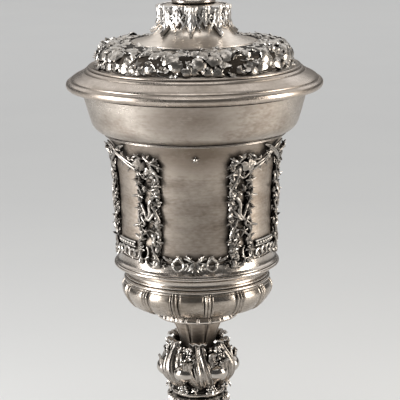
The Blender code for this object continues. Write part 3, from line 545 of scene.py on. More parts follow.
@dataclass
class Casting:
    """Cast work on a turned wall, drawn flat in millimetres as (run, height over the foot, lift).

    Run 0 lies at an angle in degrees. For hand -1 what is drawn is mirrored.
    """

    skin: Skin
    foot: float
    seed: int = 0
    angle: float = 0.0
    hand: float = 1.0
    shape: Shape = field(default_factory=Shape)

    def __post_init__(self) -> None:
        """Starts the chance that its random draws come from."""
        self.chance = np.random.default_rng(self.seed)

    def flat(self, points: Sequence[Sequence[float]] | np.ndarray) -> np.ndarray:
        """Flat points in metres, with their height over the floor.

        Args:
            points: The points in millimetres.

        Returns:
            The points, mirrored where the hand asks for it.
        """
        flat = np.array(points, float) * MM
        flat[..., 0] *= self.hand
        flat[..., 1] += self.foot
        return flat

    def strand(self, knots: Sequence[Sequence[float]] | np.ndarray, radii: float | Sequence[float],
               sides: int = 7, closed: bool = False, gnarl: float = 0.0, per_span: int = 6) -> None:
        """Adds a twig through knots.

        Args:
            knots: The knots.
            radii: One radius, or one for each knot.
            sides: Points round the twig.
            closed: Whether it runs back to its start.
            gnarl: How uneven its bark is.
            per_span: Steps between two knots.
        """
        flat = self.flat(knots)
        widths = np.asarray(radii, float)
        if widths.ndim:
            widths = flowing(np.stack([widths, 0 * widths], axis=-1), per_span, closed)[:, 0]
        rings = tube(flowing(flat, per_span, closed), widths * MM, UP, sides, closed, gnarl,
                     float(flat[0, 0] * 900))
        self.shape.grid(self.skin.lay(rings, self.angle), wrap_rows=closed, caps=not closed)

    def leaf(self, form: LeafForm, spot: Sequence[float], size: float, turn: Sequence[float]) -> None:
        """Adds a leaf.

        Args:
            form: The leaf's form.
            spot: Where it lies.
            size: Its reach.
            turn: Its spin, pitch and roll in degrees.
        """
        leaf = form.points(self.chance) * size * MM @ tilted(self.hand * turn[0], *turn[1:])
        self.shape.grid(self.skin.lay(leaf + self.flat(spot), self.angle), caps=True)

    def thorns(self, spots: Iterable[Sequence[float]], lift: float, pitches: Pair, roll: float = 20.0,
               rise: float = 0.0) -> None:
        """Adds thorny leaves.

        Args:
            spots: (run, height, size, spin) of each.
            lift: How far they stand off at the foot.
            pitches: The least and the greatest pitch in degrees.
            roll: The greatest roll in degrees.
            rise: How much further they stand off for each millimetre of height.
        """
        for run, height, size, spin in spots:
            pitch = self.chance.uniform(*pitches) if pitches[0] < pitches[1] else pitches[0]
            turn = (spin, pitch, self.chance.uniform(-roll, roll))
            self.leaf(THORNY, (run, height, lift + rise * height), size, turn)

    def bead(self, spot: Sequence[float], sizes: Sequence[float], rows: int = 7, columns: int = 12,
             axes: np.ndarray = UPRIGHT) -> None:
        """Adds a rounded bead.

        Args:
            spot: Its middle.
            sizes: Its half sizes.
            rows: Its rings.
            columns: Points round a ring.
            axes: Its three axes as rows.
        """
        bead = lump(self.flat(spot), np.asarray(sizes) * MM, rows, columns, axes)
        self.shape.grid(self.skin.lay(bead, self.angle), caps=True)


class NodeDesk:
    """Adds a material's nodes and links them."""

    def __init__(self, name: str) -> None:
        """Opens a new material.

        Args:
            name: The material's name.
        """
        self.material = bpy.data.materials.new(name)
        self.material.use_nodes = True
        self.tree = self.material.node_tree
        self.shader = self.tree.nodes["Principled BSDF"]

    def feed(self, socket: bpy.types.NodeSocket, value: object) -> None:
        """Links an input to a socket, or sets its value.

        Args:
            socket: The input.
            value: The socket or value.
        """
        if isinstance(value, bpy.types.NodeSocket):
            self.tree.links.new(value, socket)
        else:
            socket.default_value = value

    def node(self, kind: str, inputs: dict[str | int, object] | None = None,
             **settings: object) -> bpy.types.Node:
        """Adds a node.

        Args:
            kind: The node's type, without its ShaderNode prefix.
            inputs: Values or sockets for its inputs, by name or number.
            settings: The node's own settings.

        Returns:
            The node.
        """
        made = self.tree.nodes.new("ShaderNode" + kind)
        for name, value in settings.items():
            setattr(made, name, value)
        for name, value in (inputs or {}).items():
            self.feed(made.inputs[name], value)
        return made

    def math(self, operation: str, first: object, second: object = 0.0,
             clamp: bool = False) -> bpy.types.NodeSocket:
        """A sum, product or the like of two values or sockets."""
        return self.node("Math", {0: first, 1: second}, operation=operation, use_clamp=clamp).outputs[0]

    def vector(self, operation: str, first: object, second: object = (0, 0, 0)) -> bpy.types.NodeSocket:
        """A sum, product, length or the like of two vectors or sockets."""
        made = self.node("VectorMath", {0: first, 1: second}, operation=operation)
        return made.outputs["Value" if operation in ("LENGTH", "DISTANCE") else 0]

    def blend(self, share: object, first: object, second: object) -> bpy.types.NodeSocket:
        """A colour between two.

        Args:
            share: How much of the second, from 0 to 1.
            first: A colour or socket.
            second: A colour or socket.

        Returns:
            The colour's socket.
        """
        mixer = self.node("Mix", {0: share}, data_type="RGBA")
        for number, value in ((6, first), (7, second)):
            self.feed(mixer.inputs[number], (*value, 1) if isinstance(value, tuple) else value)
        return mixer.outputs[2]

    def between(self, value: object, low: float, high: float, start: float = 0.0,
                end: float = 1.0) -> bpy.types.NodeSocket:
        """A value carried from one range to another, held at its ends."""
        return self.node("MapRange", {0: value, 1: low, 2: high, 3: start, 4: end}).outputs[0]

    def noise(self, vector: object, scale: float, detail: float = 3.0) -> bpy.types.NodeSocket:
        """Soft noise from 0 to 1."""
        return self.node("TexNoise", {"Vector": vector, "Scale": scale, "Detail": detail}).outputs["Fac"]

    def bump(self, strength: float, depth: float, height: object, **normal: object) -> bpy.types.NodeSocket:
        """A normal tilted by a height."""
        return self.node("Bump", {"Strength": strength, "Distance": depth, "Height": height,
                                  **normal}).outputs[0]

    def plug(self, name: str, value: object) -> None:
        """Feeds one of the shader's inputs."""
        self.feed(self.shader.inputs[name], value)


class ShadePatch(NamedTuple):
    """A ragged darker patch of painted shade, drawn towards the tarnish colour."""

    place: Triple
    reach: float
    strength: float


@dataclass(frozen=True)
class Silver:
    """Silver with turned brush lines, tarnish clouds, darker patches of painted shade, and recesses blackened
    by oxide and painted shade.

    Colours are linear. Within reach metres the recesses go black by a set share, as oxide patina in the
    hollows and as painted shade from ambient occlusion. The crests go bright by a set share, as rubbed wear
    and as painted highlight.
    """

    name: str
    slot: Slot
    colour: Colour
    tarnish: Colour
    roughness: float
    clouds: float
    grain: float
    reach: float
    brushing: float = 0.0
    oxide_and_shade_strength: float = 1.0
    wear_and_highlight: float = 0.0
    shade_patches: tuple[ShadePatch, ...] = ()
    # The near-black that recesses go to: oxide patina in the hollows, and painted shade where other parts
    # stand close.
    oxide_and_shade_colour: ClassVar[Colour] = (0.022, 0.018, 0.015)
    # The light that the crests go to: rubbed wear, and painted highlight on the edges.
    crest_wear_and_highlight: ClassVar[Colour] = (0.86, 0.83, 0.79)
    lines_along: ClassVar[float] = 25.0
    lines_across: ClassVar[float] = 2600.0
    squeeze: ClassVar[float] = 2.2
    cloud_scale: ClassVar[float] = 46.0
    mottle_scale: ClassVar[float] = 330.0
    speck_scale: ClassVar[float] = 900.0
    line_depth: ClassVar[float] = 0.00004
    speck_depth: ClassVar[float] = 0.00012

    def brush_lines(self, desk: NodeDesk, place: bpy.types.NodeSocket) -> bpy.types.NodeSocket:
        """Noise drawn out round the axis.

        Args:
            desk: The material's desk.
            place: Where a point lies.

        Returns:
            The noise's socket.
        """
        split = desk.node("SeparateXYZ", {0: place})
        flat = desk.node("CombineXYZ", {0: split.outputs[0], 1: split.outputs[1]}).outputs[0]
        climb = desk.math("ADD", desk.vector("LENGTH", flat), split.outputs[2])
        lines = desk.vector("MULTIPLY", flat, (self.lines_along, self.lines_along, 0))
        stretched = desk.node("CombineXYZ", {2: climb}).outputs[0]
        across = desk.node("VectorMath", {0: stretched, 3: self.lines_across}, operation="SCALE").outputs[0]
        return desk.noise(desk.vector("ADD", lines, across), 1, 4)

    def make(self) -> bpy.types.Material:
        """Makes the material.

        Returns:
            The material.
        """
        desk = NodeDesk(self.name)
        place = desk.node("TexCoord").outputs["Object"]
        brush = self.brush_lines(desk, place)
        banded = desk.vector("MULTIPLY", place, (1, 1, self.squeeze))
        drift = desk.math("ADD", desk.math("MULTIPLY", desk.noise(banded, self.cloud_scale, 10), 0.55),
                          desk.math("MULTIPLY", desk.noise(banded, self.mottle_scale, 6), 0.3))
        drift = desk.math("ADD", drift, desk.math("MULTIPLY", brush, 0.15))
        specks = desk.noise(place, self.speck_scale)
        tarnish_and_shade = desk.math("MULTIPLY", desk.between(drift, 0.38, 0.64), self.clouds)
        # Each darker patch pulls the colour further towards tarnish: painted shade at a set place, on top of
        # the real tarnish clouds.
        for spot, reach, strength in self.shade_patches:
            away = desk.vector("DISTANCE", banded, (spot[0], spot[1], self.squeeze * spot[2]))
            ragged = desk.math("ADD", desk.math("DIVIDE", away, reach), desk.math("MULTIPLY", drift, 3))
            tarnish_and_shade = desk.math("ADD", tarnish_and_shade, desk.between(ragged, 1.6, 2.6, strength, 0), clamp=True)
        # Ambient occlusion blackens the recesses and the wall beside the ornament: oxide patina in the
        # hollows, and painted shade.
        cavity = desk.node("AmbientOcclusion", {"Distance": self.reach}, samples=8).outputs["AO"]
        oxide_and_shade_share = desk.math("MULTIPLY", desk.between(cavity, 0.9, 0.4), self.oxide_and_shade_strength, clamp=True)
        tone = desk.blend(tarnish_and_shade, self.colour, self.tarnish)
        # Pointiness lightens the crests: rubbed wear, and painted highlight on the edges.
        if self.wear_and_highlight:
            crest_wear_and_highlight = desk.between(desk.node("NewGeometry").outputs["Pointiness"], 0.53, 0.64)
            tone = desk.blend(desk.math("MULTIPLY", crest_wear_and_highlight, self.wear_and_highlight), tone, self.crest_wear_and_highlight)
        rough = desk.math("ADD", desk.math("MULTIPLY", desk.math("SUBTRACT", specks, 0.5), 0.18),
                          desk.math("MULTIPLY", tarnish_and_shade, 0.16))
        rough = desk.math("ADD", rough, desk.math("MULTIPLY", oxide_and_shade_share, 0.3))
        brushed = desk.bump(self.brushing, self.line_depth, brush)
        desk.plug("Base Color", desk.blend(oxide_and_shade_share, tone, self.oxide_and_shade_colour))
        desk.plug("Roughness", desk.math("ADD", rough, self.roughness, clamp=True))
        desk.plug("Normal", desk.bump(self.grain, self.speck_depth, specks, Normal=brushed))
        desk.plug("Metallic", 1)
        return desk.material


@dataclass(frozen=True)
class Paper:
    """A matt studio floor, evenly pale with the faintest mottling."""

    name: str
    colour: Colour
    mottled: Colour
    roughness: float

    def make(self) -> bpy.types.Material:
        """Makes the material.

        Returns:
            The material.
        """
        desk = NodeDesk(self.name)
        place = desk.node("TexCoord").outputs["Object"]
        desk.plug("Base Color", desk.blend(desk.noise(place, 6), self.colour, self.mottled))
        desk.plug("Roughness", self.roughness)
        return desk.material


class Finish(Enum):
    """Every finish on the cup, and its floor's."""

    # The satin finish's patch darkens the lip's front: a painted dark reflection.
    SATIN = Silver("satin_silver_finish", Slot.SATIN, (0.55, 0.495, 0.44), (0.23, 0.185, 0.15), 0.27,
                   clouds=0.8, grain=0.45, reach=6 * MM, brushing=0.6,
                   shade_patches=(ShadePatch((-0.003, -0.075, 0.269), 0.03, 0.6),))
    # The panel finish's patch darkens the front panel about its stud: painted shade.
    PANEL = Silver("panel_silver_finish", Slot.SATIN, (0.49, 0.425, 0.365), (0.20, 0.16, 0.125), 0.34,
                   clouds=0.85, grain=0.55, reach=8 * MM, brushing=0.6,
                   shade_patches=(ShadePatch((0, -0.05, 0.247), 0.026, 0.75),))
    BRIGHT = Silver("bright_silver_finish", Slot.BRIGHT, (0.66, 0.60, 0.54), (0.28, 0.23, 0.19), 0.20,
                    clouds=0.5, grain=0.16, reach=3 * MM, brushing=0.4, wear_and_highlight=0.5)
    LOBED = Silver("lobed_silver_finish", Slot.SATIN, (0.52, 0.465, 0.41), (0.20, 0.165, 0.13), 0.22,
                   clouds=0.85, grain=0.2, reach=3 * MM, brushing=0.5, wear_and_highlight=0.6)
    # Lighter than the other silvers: partly the cone's warmer tone, and partly painted light for a cone that
    # mirrors dark sky.
    CONE = Silver("cone_silver_finish", Slot.SATIN, (0.90, 0.81, 0.715), (0.46, 0.39, 0.32), 0.29,
                  clouds=0.55, grain=0.35, reach=1.8 * MM, brushing=0.5)
    CAST = Silver("cast_silver_finish", Slot.CAST, (0.57, 0.53, 0.48), (0.22, 0.185, 0.155), 0.25,
                  clouds=0.55, grain=0.35, reach=2.8 * MM, wear_and_highlight=0.8)
    BRANCH = Silver("branch_silver_finish", Slot.CAST, (0.42, 0.385, 0.345), (0.14, 0.115, 0.095), 0.3,
                    clouds=0.7, grain=0.4, reach=5.5 * MM, oxide_and_shade_strength=1.5, wear_and_highlight=0.45)
    LEAF = Silver("knop_leaf_finish", Slot.CAST, (0.48, 0.44, 0.40), (0.15, 0.125, 0.10), 0.20, clouds=0.65,
                  grain=0.3, reach=3.2 * MM, oxide_and_shade_strength=1.5, wear_and_highlight=0.7)
    # A lighter copy of cast silver: painted light for the collar, which mirrors dark sky before it.
    PALE = Silver("cast_silver_painted_light", Slot.CAST, (0.74, 0.71, 0.68), (0.40, 0.36, 0.32), 0.34, clouds=0.55,
                  grain=0.35, reach=1.8 * MM, wear_and_highlight=0.8)
    GLOSS = Silver("polished_cast_finish", Slot.CAST, (0.58, 0.535, 0.49), (0.30, 0.26, 0.22), 0.13,
                   clouds=0.4, grain=0.12, reach=3.2 * MM, wear_and_highlight=0.6)
    LID = Silver("lid_silver_finish", Slot.BRIGHT, (0.59, 0.515, 0.45), (0.25, 0.205, 0.16), 0.26,
                 clouds=0.65, grain=0.3, reach=4 * MM, brushing=0.5, wear_and_highlight=0.45)
    # Near-black painted shade, for the leaves' beds, the knop's core and the eyelets' pits.
    BED = Silver("painted_shade_black_finish", Slot.CAST, (0.06, 0.051, 0.042), (0.03, 0.025, 0.021), 0.6,
                 clouds=0.8, grain=0.6, reach=3 * MM)
    STEEL = Silver("rod_steel_finish", Slot.STEEL, (0.36, 0.35, 0.34), (0.22, 0.21, 0.20), 0.42, clouds=0.4,
                   grain=0.3, reach=2 * MM, brushing=0.5, oxide_and_shade_strength=0.6)
    PAPER = Paper("studio_paper", (0.72, 0.72, 0.71), (0.69, 0.69, 0.685), 0.85)

    @property
    def material(self) -> bpy.types.Material:
        """Its material, made when it is first asked for."""
        return bpy.data.materials.get(self.value.name) or self.value.make()


@dataclass
class Assembly:
    """A sub-assembly whose pieces ride on one body. The bore is its rod's hole."""

    rider: ClassVar[Rider] = Rider.CUP
    bore: float = 3.3 * MM
    wall: float = 1.3 * MM

    def add(self, name: str, form: Shape | bpy.types.Mesh, finish: Finish, *nodes: str,
            slot: Slot | None = None, turn: float = 0.0) -> None:
        """Adds a piece to the assembly's body.

        Args:
            name: The piece's name.
            form: Its shape, or a mesh that several pieces share.
            finish: Its finish.
            nodes: The nodes that it stands for.
            slot: The record's finish that it stands for, where it isn't its finish's own; not used.
            turn: Degrees about the cup's axis.
        """
        mesh = form.mesh(name) if isinstance(form, Shape) else form
        if not mesh.materials:
            mesh.materials.append(finish.material)
        piece = bpy.data.objects.new(name, mesh)
        piece.rotation_euler[2] = math.radians(turn)
        bpy.context.scene.collection.objects.link(piece)
        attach(piece, self.rider.value)
        if nodes:
            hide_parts(*nodes)
        LOG.info("%s: %d faces on the %s", name, len(mesh.polygons), self.rider.value)


@dataclass
class Wreath:
    """A ring of overlapping cast leaves on a turned wall, with stems, berries and a dark bed of painted shade
    under them.

    rows holds (share along the wall, leaves, size in millimetres, spin, pitch) for each row.
    """

    wall: np.ndarray
    rows: Sequence[tuple[float, int, float, float, float]]
    lift: float
    bed: float
    seed: int
    berries: int
    berry: float = 1.0 * MM
    forms: tuple[LeafForm, ...] = (ROUND, CUPPED)
    stem: float = 0.42 * MM
    seam: float = 0.25 * MM

    def spot(self, share: float) -> tuple[np.ndarray, np.ndarray]:
        """A point on the wall and the way along it.

        Args:
            share: The point's share of the wall's length.

        Returns:
            The point and the way, as (radius, height).
        """
        steps = np.linalg.norm(np.diff(self.wall, axis=0), axis=1)
        run = np.concatenate([[0.0], np.cumsum(steps)]) / steps.sum()
        at, before, after = (np.array([np.interp(share + step, run, self.wall[:, axis]) for axis in (0, 1)])
                             for step in (0, -0.12, 0.12))
        way = after - before
        return at, way / np.linalg.norm(way)

    def axes(self, angle: float, way: np.ndarray) -> np.ndarray:
        """Directions on the wall.

        Args:
            angle: Degrees from the front.
            way: The way along the wall, as (radius, height).

        Returns:
            Across, along and out, as rows.
        """
        across = around(angle + 90, 1, 0)
        along = way[0] * around(angle, 1, 0) + way[1] * UP
        return np.stack([across, along, np.cross(across, along)])

    def leaves(self) -> Shape:
        """Builds the leaves, the stems and the berries.

        Returns:
            Their shape.
        """
        chance = np.random.default_rng(self.seed)
        shape = Shape()
        for share, count, size, spin, pitch in self.rows:
            for number in range(count):
                angle = 360.0 * (number + chance.uniform(-0.22, 0.22)) / count + 17 * share
                at, way = self.spot(share + chance.uniform(-0.06, 0.06))
                axes = self.axes(angle, way)
                form = self.forms[int(chance.integers(len(self.forms)))]
                leaf = form.points(chance) * (size * MM) * chance.uniform(0.82, 1.15)
                side = 1.0 if number % 2 else -1.0
                leaf = leaf @ tilted(180 + side * (spin + chance.uniform(-24, 24)),
                                     pitch + chance.uniform(-12, 12), chance.uniform(-22, 22))
                centre = around(angle, *at) + axes[2] * self.lift * chance.uniform(0.55, 1.25)
                shape.grid(centre + leaf @ axes, caps=True)
        steps = np.linspace(-1, 1, 9)
        for number in range(self.berries):
            angle = 360.0 * (number + chance.uniform(-0.4, 0.4)) / self.berries
            at, way = self.spot(chance.uniform(0.1, 0.95))
            axes, foot = self.axes(angle, way), around(angle, *at)
            size = self.berry * chance.uniform(0.75, 1.2)
            shape.grid(lump(foot + axes[2] * (self.lift + 0.3 * size), (size, size, size), 6, 10, axes),
                       caps=True)
            if number % 2 == 0:
                stem = np.stack([steps * 5.5 * MM, 1.6 * MM * np.sin(2.4 * steps + number),
                                 (0.7 + 0.5 * np.cos(3 * steps)) * MM], axis=-1)
                stem = stem @ tilted(chance.uniform(-35, 35), 0, 0)
                base = foot + axes[2] * 0.6 * self.lift
                shape.grid(tube(base + stem @ axes, self.stem, axes[2], 6), caps=True)
        return shape

    def bedding(self) -> Shape:
        """Builds the dark ring under the leaves, painted shade in the gaps between them.

        Returns:
            Its shape.
        """
        normal = np.gradient(self.wall, axis=0)
        normal = np.stack([normal[:, 1], -normal[:, 0]], axis=-1)
        normal /= np.linalg.norm(normal, axis=1, keepdims=True)
        outer = self.wall + normal * self.bed
        inner = self.wall + normal * self.seam
        outline = Outline().at(inner[0], *outer, *inner[::-1])
        return turned(outline, 180, lambda wall: 0.25 * MM * np.sin(np.radians(wall.turn) * 30)
                      * np.sin(wall.radii * 2600 + wall.heights * 1900))


@dataclass
class Foot(Assembly):
    """The rim that the cup stands on, its gadrooned band, the dome with its trumpet, and the wreath."""

    rim: Span = spanned("foot_rim")
    band: Span = spanned("foot_gadroon_band")
    dome: Span = spanned("foot_dome")
    rim_width: float = 8.5 * MM
    stem_radius: float = 11.2 * MM
    wreath_width: float = 13.0 * MM
    shoulder: float = 3.0 * MM
    lobes: int = 24
    lobe_columns: int = 14
    lobe_depth: float = 1.1 * MM

    def build(self) -> None:
        """Builds and dresses every piece of the foot."""
        self.build_rim()
        self.build_band()
        self.build_dome()
        rows = ((0.2, 34, 4.8, 35, 12), (0.52, 32, 4.8, 55, 12), (0.85, 26, 4.2, 80, 6))
        wreath = Wreath(self.shoulder_line(), rows, lift=1.05 * MM, bed=0.8 * MM, seed=11, berries=50)
        self.add("foot_leaves", wreath.leaves(), Finish.CAST, "foot_wreath")
        # The bed under the leaves is near-black painted shade.
        self.add("foot_leaf_bed", wreath.bedding(), Finish.BED)

    def build_rim(self) -> None:
        """Builds the cast rim with its two rolls."""
        rim, inner = self.rim, self.rim.radius - self.rim_width
        outline = rim.outline().at((inner, rim.low)).to((-1.2, 0)).bead(-1.3, 0.62, 0.85, 10)
        outline.to((-1.9, 0.64)).bead(-2.3, 1, 0.8, 7).at((inner, rim.high))
        self.add("foot_base_rim", turned(outline), Finish.BRIGHT, "foot_rim")

    def build_band(self) -> None:
        """Builds the convex band with its gadroons."""
        band, rim, step = self.band, self.rim.radius, self.dome.radius
        outline = band.outline(rim).at((rim - self.rim_width, band.low)).to((-2.6, 0))
        outline.curve_at(outline.place(-2.2, 0.3), outline.place(-4, 0.66),
                         (step + 3.6 * MM, band.level(0.9)),
                         (step + 1 * MM, band.high), per_span=7).at((step - 4.5 * MM, band.high))

        def gadroons(wall: Wall) -> np.ndarray:
            """Round lobes with a sharp valley between each two.

            Args:
                wall: The section's points.

            Returns:
                How far they move out.
            """
            rise = np.sin(math.pi * np.clip((wall.heights - band.low) / band.height, 0, 1))
            lobe = np.abs(np.cos(np.radians(wall.turn * 0.5 * self.lobes))) ** 0.55
            return self.lobe_depth * (lobe - 0.7) * rise * (wall.radii > step)

        self.add("foot_gadroons", turned(outline, self.lobes * self.lobe_columns, gadroons), Finish.BRIGHT,
                 "foot_gadroon_band", slot=Slot.CAST)

    def shoulder_line(self) -> np.ndarray:
        """The dome's convex shoulder as (radius, height) points."""
        outline = self.dome.outline(unit=-self.wreath_width)
        return flowing([outline.place(*knot) for knot in ((0, 0), (0.2, 0.12), (0.55, 0.195), (1, 0.24))], 5)

    def build_dome(self) -> None:
        """Builds the hollow dome that sweeps up to the stem."""
        dome, line = self.dome, self.shoulder_line()
        share = np.linspace(0, 1, 26)[1:]
        edge = line[-1]
        sweep = np.stack([self.stem_radius + (edge[0] - self.stem_radius) * (1 - share) ** 2.6,
                          edge[1] + (dome.high - edge[1]) * share], axis=-1)
        outer = np.vstack([line, sweep])
        under = [(radius - self.wall, height - 0.7 * self.wall) for radius, height in outer[::-1]
                 if dome.low + self.wall < height < dome.high - 1.3 * self.shoulder]
        floor = dome.high - self.shoulder
        outline = Outline().at(*outer, (self.bore, dome.high), (self.bore, floor),
                               (self.stem_radius - 0.7 * self.wall, floor), *under,
                               (dome.radius - 1.6 * self.wall, dome.low))
        self.add("foot_trumpet", turned(outline), Finish.SATIN, "foot_dome")


@dataclass(frozen=True)
class CurlingLeaf:
    """A ribbed acanthus leaf that curls out from a stem.

    stations are (out, share) points along its back from foot to tip: out in units from the axis, and a
    share of the span's height. halves are its half widths there and depth its thickness, in
    millimetres, and core is the least radius that its width is bent round. It stands start degrees
    from the front at its foot, and drifts round by swirl degrees to its tip.
    """

    span: Span
    core: float
    stations: Sequence[Pair]
    halves: Sequence[float]
    depth: float
    ribs: float
    start: float = 0.0
    swirl: float = 0.0
    camber: float = 1.1
    per_span: int = 6
    columns: int = 21
    unit: float = MM
    crinkle: ClassVar[float] = 0.35
    midrib: ClassVar[float] = 0.07

    def shape(self) -> Shape:
        """Builds the leaf at the front.

        Returns:
            Its closed shape.
        """
        outline, depth = self.span.outline(0, self.unit), self.depth * MM
        back = flowing([outline.place(*station) for station in self.stations], self.per_span)
        halves = flowing([(half * MM, 0) for half in self.halves], self.per_span)[:, 0]
        run = np.gradient(back, axis=0)
        run /= np.linalg.norm(run, axis=1, keepdims=True)
        outward = np.stack([run[:, 1], -run[:, 0]], axis=-1)
        share = np.linspace(0, 1, len(back))[:, None]
        across = np.linspace(-1, 1, self.columns)[None, :]
        notch = 1.0 + 0.09 * np.sin(share * 36) * np.abs(across) ** 3
        spread = np.degrees(across * notch * halves[:, None] / np.maximum(back[:, :1], self.core))
        drift = np.sin(0.5 * math.pi * np.clip(1.7 * share, 0, 1))
        angles = spread + self.start + self.swirl * drift + 2 * np.sin(share * math.tau)
        arch = -self.camber * depth * np.abs(across) ** 2.2 * np.sin(math.pi * np.clip(share * 1.15, 0, 1))
        arch = arch + self.crinkle * depth * np.sin(8.5 * across + 0.8) * share**7
        rib = 0.3 * depth * np.cos(math.tau * self.ribs * np.abs(across) ** 0.85) * np.clip(share * 5, 0, 1)
        rib = (rib - 0.45 * depth * bump(across, self.midrib)) * (1 - 0.7 * share**4)
        thickness = depth * (1 - 0.35 * across**2) * (1 - 0.5 * share**5) + rib
        front, under = (back[:, None] + outward[:, None] * lift[..., None]
                        for lift in (arch + thickness, arch - 0.1 * depth))
        shape = Shape()
        shape.slab(around(angles, front[..., 0], front[..., 1]), around(angles, under[..., 0], under[..., 1]))
        return shape


# Each leaf is what CurlingLeaf takes after its span and core. Fruits are (degrees, share of the core's
# height, half size in millimetres), and thorns the same with their reach for a size and then their spin.
KNOP_BLADES = (
    (((13.9, 0.03), (16.2, 0.12), (20.8, 0.3), (23.4, 0.52), (22.6, 0.74), (19.6, 0.94), (17.1, 1.09),
      (16.3, 1.19), (16.9, 1.27), (18.6, 1.31), (20.4, 1.29)),
     (5.4, 6.8, 7.8, 7.8, 6.8, 5.5, 4.7, 4.6, 5.2, 5.8, 5.9), 1.5, 3, 9.5, -16.5, 1.3, 6, 41),
    (((14.2, 0.04), (17.6, 0.16), (21.8, 0.34), (24, 0.52), (24.2, 0.68), (24.3, 0.8), (25.4, 0.87)),
     (2.2, 3.2, 4, 4, 3.6, 3.4, 3), 1.3, 1.5, 2, -25, 1.4, 6, 25),
    (((14.2, 0.05), (16.8, 0.2), (20.6, 0.42), (22, 0.62), (21.4, 0.8), (20.8, 0.94), (21.6, 1.02)),
     (1.8, 2.2, 2.4, 2.4, 2.2, 2.4, 2.6), 1.1, 1, 9, 10, 1.2, 6, 17))
BALUSTER_TIP = (((13.2, 0.35), (15.6, 0.55), (18.4, 0.74), (20, 0.88), (19.4, 0.97), (18, 0.93)),
                (1.6, 3.2, 5, 5.4, 4.4, 3), 1.2, 3)
BALUSTER_SEPAL = (((13.4, 0.5), (15.8, 0.68), (18.2, 0.8), (18.6, 0.9), (17.2, 0.9)),
                  (1.2, 2.4, 3.4, 3.2, 2), 1.1, 2)
SMALL_FRUITS = ((-8, 0.76, 2.6), (4, 0.74, 2.8), (-1, 0.86, 2.2), (9, 0.9, 2.4), (-12, 0.98, 1.9))
KNOP_THORNS = (
    (-14, 0.72, 3.2, 25), (13, 0.98, 3, -35), (-5, 1.08, 2.8, 5), (-11, 0.06, 2.8, 150), (12, 0.1, 2.6, -160),
    (-16, 1.12, 2.4, 40), (1, 0.94, 2.4, 170))


